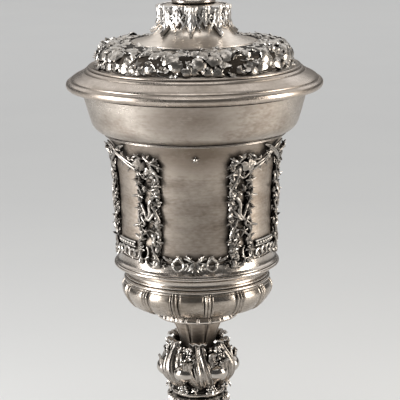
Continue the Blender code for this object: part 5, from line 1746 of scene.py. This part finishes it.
@dataclass
class Lid(Assembly):
    """The moulded rim, the bezel, the cone, the leaf wreath and the collar of spear leaves."""

    rider: ClassVar[Rider] = Rider.LID
    rim: Span = spanned("lid_rim")
    bezel: Span = spanned("lid_bezel")
    cone: Span = spanned("lid_cone")
    lip: Span = spanned("flared_lip")
    drop: float = 2.0 * MM
    edge_radius: float = 39.2 * MM
    top_radius: float = 20.0 * MM
    neck_seat: float = 14.6 * MM
    fall: float = 3.6 * MM
    shoulder: float = 3.0 * MM
    spears: int = 8
    first_spear: float = -4.0
    collar_share: float = 0.955
    spear_share: float = 0.945

    def build(self) -> None:
        """Builds and dresses every piece of the lid."""
        self.build_rim()
        self.build_bezel()
        self.build_cone()
        self.build_wreath()
        self.build_collar()
        self.build_eyelets()

    def build_rim(self) -> None:
        """Builds the rim: its roll, a groove, the swept moulding and the thin bright ledge."""
        rim, radius, drum = self.rim, self.rim.radius, self.cone.radius
        seat, ceiling = rim.low + self.drop, drum - 2 * self.wall
        inner, outer = self.lip.radius - 5.2 * MM, self.lip.radius + 3.3 * MM
        outline = Outline(radius, seat).at((inner, seat), (outer, seat), (outer + 1 * MM, rim.low))
        outline.at((radius - 2.3 * MM, rim.low)).bead(-1.9, 3.6, 0.84, 14).to((-2.5, 3.55), (-2.75, 3.85))
        outline.curve((-3.1, 4.7), (-4.6, 5.9), (-7.4, 7.3), (-10.5, 8.9)).to((-11.1, 8.9), (-11.4, 9.5))
        outline.bead(-13.3, 10.8, 0.3, 5).to((-13.8, 10.8)).bead(-15, 12.2, 0.9, 8)
        outline.at((drum + 1.4 * MM, seat + 11.7 * MM), (drum + 0.4 * MM, rim.high), (ceiling, rim.high),
                   (ceiling, rim.high - self.wall), (inner, seat + 7.5 * MM))
        self.add("lid_moulding", turned(outline, 288), Finish.LID, "lid_rim")

    def build_bezel(self) -> None:
        """Builds the collar that finds the mouth, with a rolled foot."""
        span, radius = self.bezel, self.bezel.radius
        foot = radius - 2.2 * MM
        outline = Outline(foot, span.low).at((foot - self.wall, span.low + 0.3 * MM)).to((-0.3, 0))
        outline.bead(0, 1, 0.8, 6).curve_at((0.5 * (foot + radius), span.level(0.5)), (radius, span.high))
        outline.at((radius - self.wall, span.high))
        self.add("lid_collar_inside", turned(outline, 160), Finish.SATIN, "lid_bezel")

    def drum_line(self) -> list[Pair]:
        """The drum that the wreath lies on.

        Returns:
            Its (radius, height) points.
        """
        cone = self.cone
        return [(cone.radius, cone.low), (cone.radius - 1.7 * MM, cone.level(0.21)),
                (cone.radius - 4.5 * MM, cone.level(0.276)), (self.edge_radius + 1.3 * MM, cone.level(0.322))]

    def trumpet_line(self) -> list[Pair]:
        """The sweep from the cone's edge to its neck.

        Returns:
            Its (radius, height) points.
        """
        edge = self.cone.level(0.373)
        rises = np.linspace(0, 1, 22)[1:] ** 1.7 * (self.cone.high - edge - 2.4 * MM)
        reach = self.edge_radius - self.top_radius
        return [(self.top_radius + reach * math.exp(-rise / self.fall), edge + rise) for rise in rises]

    def build_cone(self) -> None:
        """Builds the hollow drum and sweep, with a bright bead at the sweep's edge."""
        cone, wall, line, sweep = self.cone, self.wall, self.drum_line(), self.trumpet_line()
        outline = cone.outline(self.edge_radius).at(*line).to((0.5, 0.33))
        outline.bead(-0.5, 0.366, 0.9, 8).at(*sweep)
        outline.curve_at((self.top_radius - 0.4 * MM, cone.high - 1.2 * MM), (self.neck_seat, cone.high),
                         per_span=4)
        ceiling = cone.high - self.shoulder
        outline.at((self.bore, cone.high), (self.bore, ceiling), (self.top_radius - wall, ceiling))
        outline.at(*((radius - wall, height - 0.6 * wall) for radius, height in sweep[:-5][::-1]))
        outline.at((line[3][0] - wall, line[3][1] - wall), (line[2][0] - 0.5 * wall, line[2][1] - wall),
                   (line[0][0] - wall, line[0][1]))
        # The cone's lighter finish is partly painted light.
        self.add("lid_sweep", turned(outline), Finish.CONE, "lid_cone")

    def build_wreath(self) -> None:
        """Builds the dense wreath of overlapping leaves on its dark bed of painted shade."""
        line = [(radius - 0.9 * MM, height + 0.1 * MM) for radius, height in self.drum_line()]
        rows = ((0.05, 54, 4.2, 80, -6), (0.16, 54, 5.2, 45, 2), (0.3, 50, 5.8, 65, 6),
                (0.45, 44, 5.6, 120, 6), (0.6, 38, 5.6, 80, 6), (0.82, 31, 4.9, 95, 0))
        wreath = Wreath(flowing(line, 5), rows, lift=1.25 * MM, bed=1.5 * MM, seed=19, berries=70,
                        berry=1.3 * MM)
        self.add("lid_leaves", wreath.leaves(), Finish.CAST, "leaf_wreath")
        # The bed under the leaves is near-black painted shade.
        self.add("lid_leaf_bed", wreath.bedding(), Finish.BED)

    def casting(self) -> Casting:
        """An empty casting on the sweep, whose heights count up from the collar's head.

        Returns:
            The casting.
        """
        line = np.array([*self.trumpet_line(), (self.top_radius, self.cone.high)])
        skin = Skin(line[:, 1], line[:, 0], self.top_radius)
        return Casting(skin, self.cone.level(self.collar_share))

    def spear(self, length: float, half: float, flare: float, ridge: float) -> np.ndarray:
        """A spear leaf's flat front as rows from its head to its tip.

        Args:
            length: From head to tip.
            half: Half its greatest width.
            flare: How far the tip stands off.
            ridge: The midrib's height.

        Returns:
            Rows by columns by (run, height, lift).
        """
        share = np.linspace(0, 1, 15)[:, None]
        across = np.linspace(-1, 1, 17)[None, :]
        width = half * (0.62 + 0.7 * np.sin(math.pi * (share * 0.9
                                                       + 0.04)) ** 1.5) * (1 - share**2.2) + 0.12 * MM
        side = np.abs(across)
        lift = (1.3 * MM + ridge * (1 - side) + 0.45 * MM * bump(side - 0.86, 0.13) + flare * share**2
                + 0.9 * MM * (1 - share) ** 3 + 0.2 * MM * np.cos(9 * side - 22 * share))
        top = self.cone.level(self.spear_share)
        return np.stack(np.broadcast_arrays(width * across, top - length * share, lift), axis=-1)

    def build_collar(self) -> None:
        """Builds the scalloped band, the spear leaves, the short sepals and the crossed strips."""
        work, radius, pitch = self.casting(), self.top_radius, 360 / self.spears
        outline = Outline(radius, work.foot).to((0.4, -8.2), (1, -8.3))
        outline.curve((1.1, -5.6), (1.4, -3.4), (2.3, -1.4), (2.3, 0.6), (1, 1.5), per_span=5)
        outline.to((0.1, 0.9), (0.3, -0.6))

        def scallops(wall: Wall) -> np.ndarray:
            """Rounded folds over the spear leaves and between them, each with fine ribs.

            Args:
                wall: The section's points.

            Returns:
                How far they move out.
            """
            wave = np.radians(wall.turn - self.first_spear) * self.spears
            out = np.clip((wall.radii - radius - 0.5 * MM) / (1.6 * MM), 0, 1)
            return out * MM * (0.9 * np.cos(wave) + 0.75 * np.cos(2 * wave) + 0.25 * np.cos(6 * wave) - 0.7)

        work.shape = turned(outline, 288, scallops)
        strips = (((1, -4.4, 1.5), (3.3, -8.6, 1.8), (5, -12.6, 2.1)),
                  ((7.6, -4.2, 1.5), (5.6, -7.6, 1.9), (3.9, -10.8, 2)),
                  ((4.4, -4, 1.5), (6.4, -7.4, 1.6), (8.2, -10.4, 1.8)))
        eyelet = [(4.1 + 1.05 * math.cos(step), -5.2 - 1.05 * math.sin(step), 1.35)
                  for step in np.linspace(0, math.tau, 12, endpoint=False)]
        for angle in self.first_spear + even(self.spears):
            for turn, length, half, flare, ridge in ((0, 17.2, 2.8, 0.9, 1.2), (0.5, 12, 1.7, 0.5, 0.8)):
                front = self.spear(length * MM, half * MM, flare * MM, ridge * MM)
                back = front.copy()
                back[..., 2] = np.maximum(front[..., 2] - (ridge + 0.75) * MM, 0.35 * MM)
                work.shape.slab(*(work.skin.lay(side, angle + turn * pitch) for side in (front, back)))
            work.angle = angle
            for hand in HANDS:
                work.hand = hand
                for strip in strips:
                    work.strand(strip, 0.68, 6, per_span=5)
                work.strand(eyelet, 0.27, 6, closed=True, per_span=1)
        # The collar's lighter finish is painted light.
        self.add("spear_leaf_collar", work.shape, Finish.PALE, "calyx_collar")

    def build_eyelets(self) -> None:
        """Builds the pits inside the collar's eyelets, near-black as painted shade."""
        work = self.casting()
        for angle in self.first_spear + even(self.spears):
            work.angle = angle
            for hand in HANDS:
                work.hand = hand
                work.bead((4.1, -5.2, 1), (0.95, 0.95, 0.45), 6)
        self.add("collar_eyelets", work.shape, Finish.BED)


@dataclass
class Finial(Assembly):
    """The finial's turned neck, its leaf cup and its berry bud."""

    rider: ClassVar[Rider] = Rider.LID
    neck: Span = spanned("finial_neck")
    cup: Span = spanned("finial_calyx")
    bud: Span = spanned("finial_bud")
    waist: float = 7.7 * MM
    bud_radius: float = 12.5 * MM
    berry: float = 2.25 * MM
    spacing: float = 4.3 * MM
    leaves: int = 6

    def build(self) -> None:
        """Builds and dresses every piece of the finial."""
        self.build_neck()
        self.build_cup()
        self.build_bud()

    def build_neck(self) -> None:
        """Builds the turned neck: a roll, a bead and the waist."""
        span = self.neck
        outline = span.outline(0, span.radius).at((self.bore, span.low)).to((0.9, 0))
        outline.bead(0.88, 0.24, 0.9, 10).to((0.8, 0.25)).bead(0.74, 0.36, 0.9, 6)
        outline.unit = self.waist
        outline.curve((1.02, 0.52), (1, 0.66), (1.15, 0.85)).bead(1.2, 1, 0.9, 6).at((self.bore, span.high))
        self.add("finial_turned_neck", turned(outline, 160), Finish.BRIGHT, "finial_neck")

    def build_cup(self) -> None:
        """Builds the cup of leaves under the bud."""
        span, radius = self.cup, self.bud_radius
        outline = span.outline(0, radius).at((self.bore, span.low), (1.15 * self.waist, span.low))
        outline.curve((0.84, 0.32), (1.02, 0.62), (1.04, 0.9)).to((0.98, 1)).at((self.bore, span.high))

        def ribs(wall: Wall) -> np.ndarray:
            """Leaves with a midrib, parted by dark lines.

            Args:
                wall: The section's points.

            Returns:
                How far they move out.
            """
            away = np.abs(apart(wall.turn, 0, 360 / self.leaves))
            lines = 0.35 * np.cos(np.radians(away * 24)) - 0.9 * bump(away - 30, 3)
            rise = np.clip((wall.heights - span.low) / (0.2 * span.height), 0, 1)
            return MM * lines * (wall.radii > self.waist) * rise

        shape = turned(outline, 240, ribs)
        tip = CurlingLeaf(span, radius, ((0.7, 0.2), (1, 0.55), (1.14, 0.9), (1.27, 1.12), (1.4, 1.08)),
                          (2.2, 4.2, 4.8, 3.4, 1.2), 0.9, 2, per_span=5, unit=radius)
        shape.copies(tip.shape(), even(self.leaves))
        self.add("finial_leaf_cup", shape, Finish.CAST, "finial_calyx")

    def build_bud(self) -> None:
        """Builds the bud, a core that is closely set with berries."""
        span, radius = self.bud, self.bud_radius - 1.3 * MM

        def skin(polar: Values) -> tuple[Values, Values]:
            """The core's radii and heights at angles from its foot."""
            return radius * np.sin(polar) ** 0.8, span.low + 0.98 * span.height * (1 - np.cos(polar)) / 2

        line = np.stack(skin(np.radians(np.linspace(40, 178, 24))), axis=-1)
        line[0, 1] = span.low
        socket = span.level(0.35)
        outline = Outline().at((0.2 * MM, socket), (self.bore, socket), (self.bore, span.low), *line)
        shape = turned(outline, 120, solid=True)
        for row, angle in enumerate(np.linspace(50, 164, 10)):
            at, height = skin(math.radians(angle))
            count = max(6, round(math.tau * at / self.spacing))
            for number in range(count):
                centre = around(360 * (number + 0.5 * (row % 2)) / count, at, height)
                shape.grid(lump(centre, (self.berry,) * 3, 8, 14), caps=True)
        self.add("finial_berry_bud", shape, Finish.CAST, "finial_bud")


@dataclass(frozen=True)
class Rods:
    """The rods, washers and nuts inside the stem and the finial, kept as they are and given their steel."""

    nodes: tuple[str, ...] = tuple(f"{place}_{part}" for place in ("stem", "finial")
                                   for part in ("rod", "washer", "nut"))

    def build(self) -> None:
        """Gives each its finish."""
        for name in self.nodes:
            for slot in frame["nodes"][name].material_slots:
                slot.material = Finish.STEEL.material
            LOG.info("%s keeps its shape", name)


@dataclass(frozen=True)
class SoftBox:
    """A soft box at degrees from the front, a distance from the axis and a height, aimed at a height."""

    name: str
    azimuth: float
    distance: float
    height: float
    size: Pair
    watts: float
    aim: float
    colour: Colour = (1, 1, 1)
    straight_down: bool = False

    def hang(self) -> None:
        """Hangs the box."""
        lamp = bpy.data.lights.new(self.name, "AREA")
        lamp.shape = "RECTANGLE"
        lamp.size, lamp.size_y = self.size
        lamp.energy, lamp.color = self.watts, self.colour
        box = bpy.data.objects.new(self.name, lamp)
        place = around(self.azimuth, self.distance, self.height)
        box.location = place
        way = Vector((0, place[1] if self.straight_down else 0, self.aim)) - Vector(place)
        box.rotation_euler = way.to_track_quat("-Z", "Y").to_euler()
        bpy.context.scene.collection.objects.link(box)


@dataclass
class Studio:
    """The floor, the soft boxes and the camera."""

    reach: float = 8.0
    eye: Triple = (0.0025, -1.031, 0.4352)
    pitch: float = 12.5
    roll: float = -0.7
    lens: float = 149.85
    clip: Pair = (0.05, 60)
    sky: Colour = (0.78, 0.79, 0.8)
    sky_strength: float = 0.11
    boxes: tuple[SoftBox, ...] = (
        SoftBox("left_box", -72, 0.95, 0.34, (0.36, 0.8), 13, 0.2),
        SoftBox("right_box", 79, 0.95, 0.34, (0.34, 0.8), 8, 0.2, (1, 0.95, 0.88)),
        SoftBox("top_box", 0, 0.5, 1.9, (1.4, 1), 7.5, 0.25),
        SoftBox("far_box", 180, 3.1, 2.4, (9, 5), 140, 0, straight_down=True),
    )

    def build(self) -> None:
        """Sets up the studio."""
        self.lay_floor()
        self.light()
        self.set_camera()

    def lay_floor(self) -> None:
        """Lays a wide plain floor."""
        mesh = bpy.data.meshes.new("studio_floor")
        corners = ((-1, -1), (1, -1), (1, 1), (-1, 1))
        mesh.from_pydata([(side * self.reach, way * self.reach, 0) for side, way in corners], [],
                         [(0, 1, 2, 3)])
        mesh.materials.append(Finish.PAPER.material)
        floor = bpy.data.objects.new("studio_floor", mesh)
        bpy.context.scene.collection.objects.link(floor)

    def light(self) -> None:
        """Sets the faint sky and hangs a soft box at each side, one overhead and one for the floor behind."""
        world = bpy.data.worlds.new("studio_air")
        world.use_nodes = True
        sky = world.node_tree.nodes["Background"]
        sky.inputs["Color"].default_value = (*self.sky, 1)
        sky.inputs["Strength"].default_value = self.sky_strength
        bpy.context.scene.world = world
        for box in self.boxes:
            box.hang()

    def set_camera(self) -> None:
        """Sets the camera at the photograph's angle."""
        lens = bpy.data.cameras.new("photo_camera")
        lens.lens = self.lens
        lens.sensor_fit = "HORIZONTAL"
        lens.clip_start, lens.clip_end = self.clip
        camera = bpy.data.objects.new("photo_camera", lens)
        camera.matrix_world = (Matrix.Translation(self.eye)
                               @ Matrix.Rotation(math.radians(90 - self.pitch), 4, "X")
                               @ Matrix.Rotation(math.radians(self.roll), 4, "Z"))
        bpy.context.scene.collection.objects.link(camera)
        bpy.context.scene.camera = camera
        bpy.context.scene.view_settings.view_transform = "Standard"


def main() -> None:
    """Builds the cup, its lid and the studio."""
    logging.basicConfig(level=logging.INFO, format="%(message)s")
    for assembly in (Foot, Stem, Bowl, Branches, Lid, Finial, Rods, Studio):
        assembly().build()


if __name__ == "__main__":
    main()
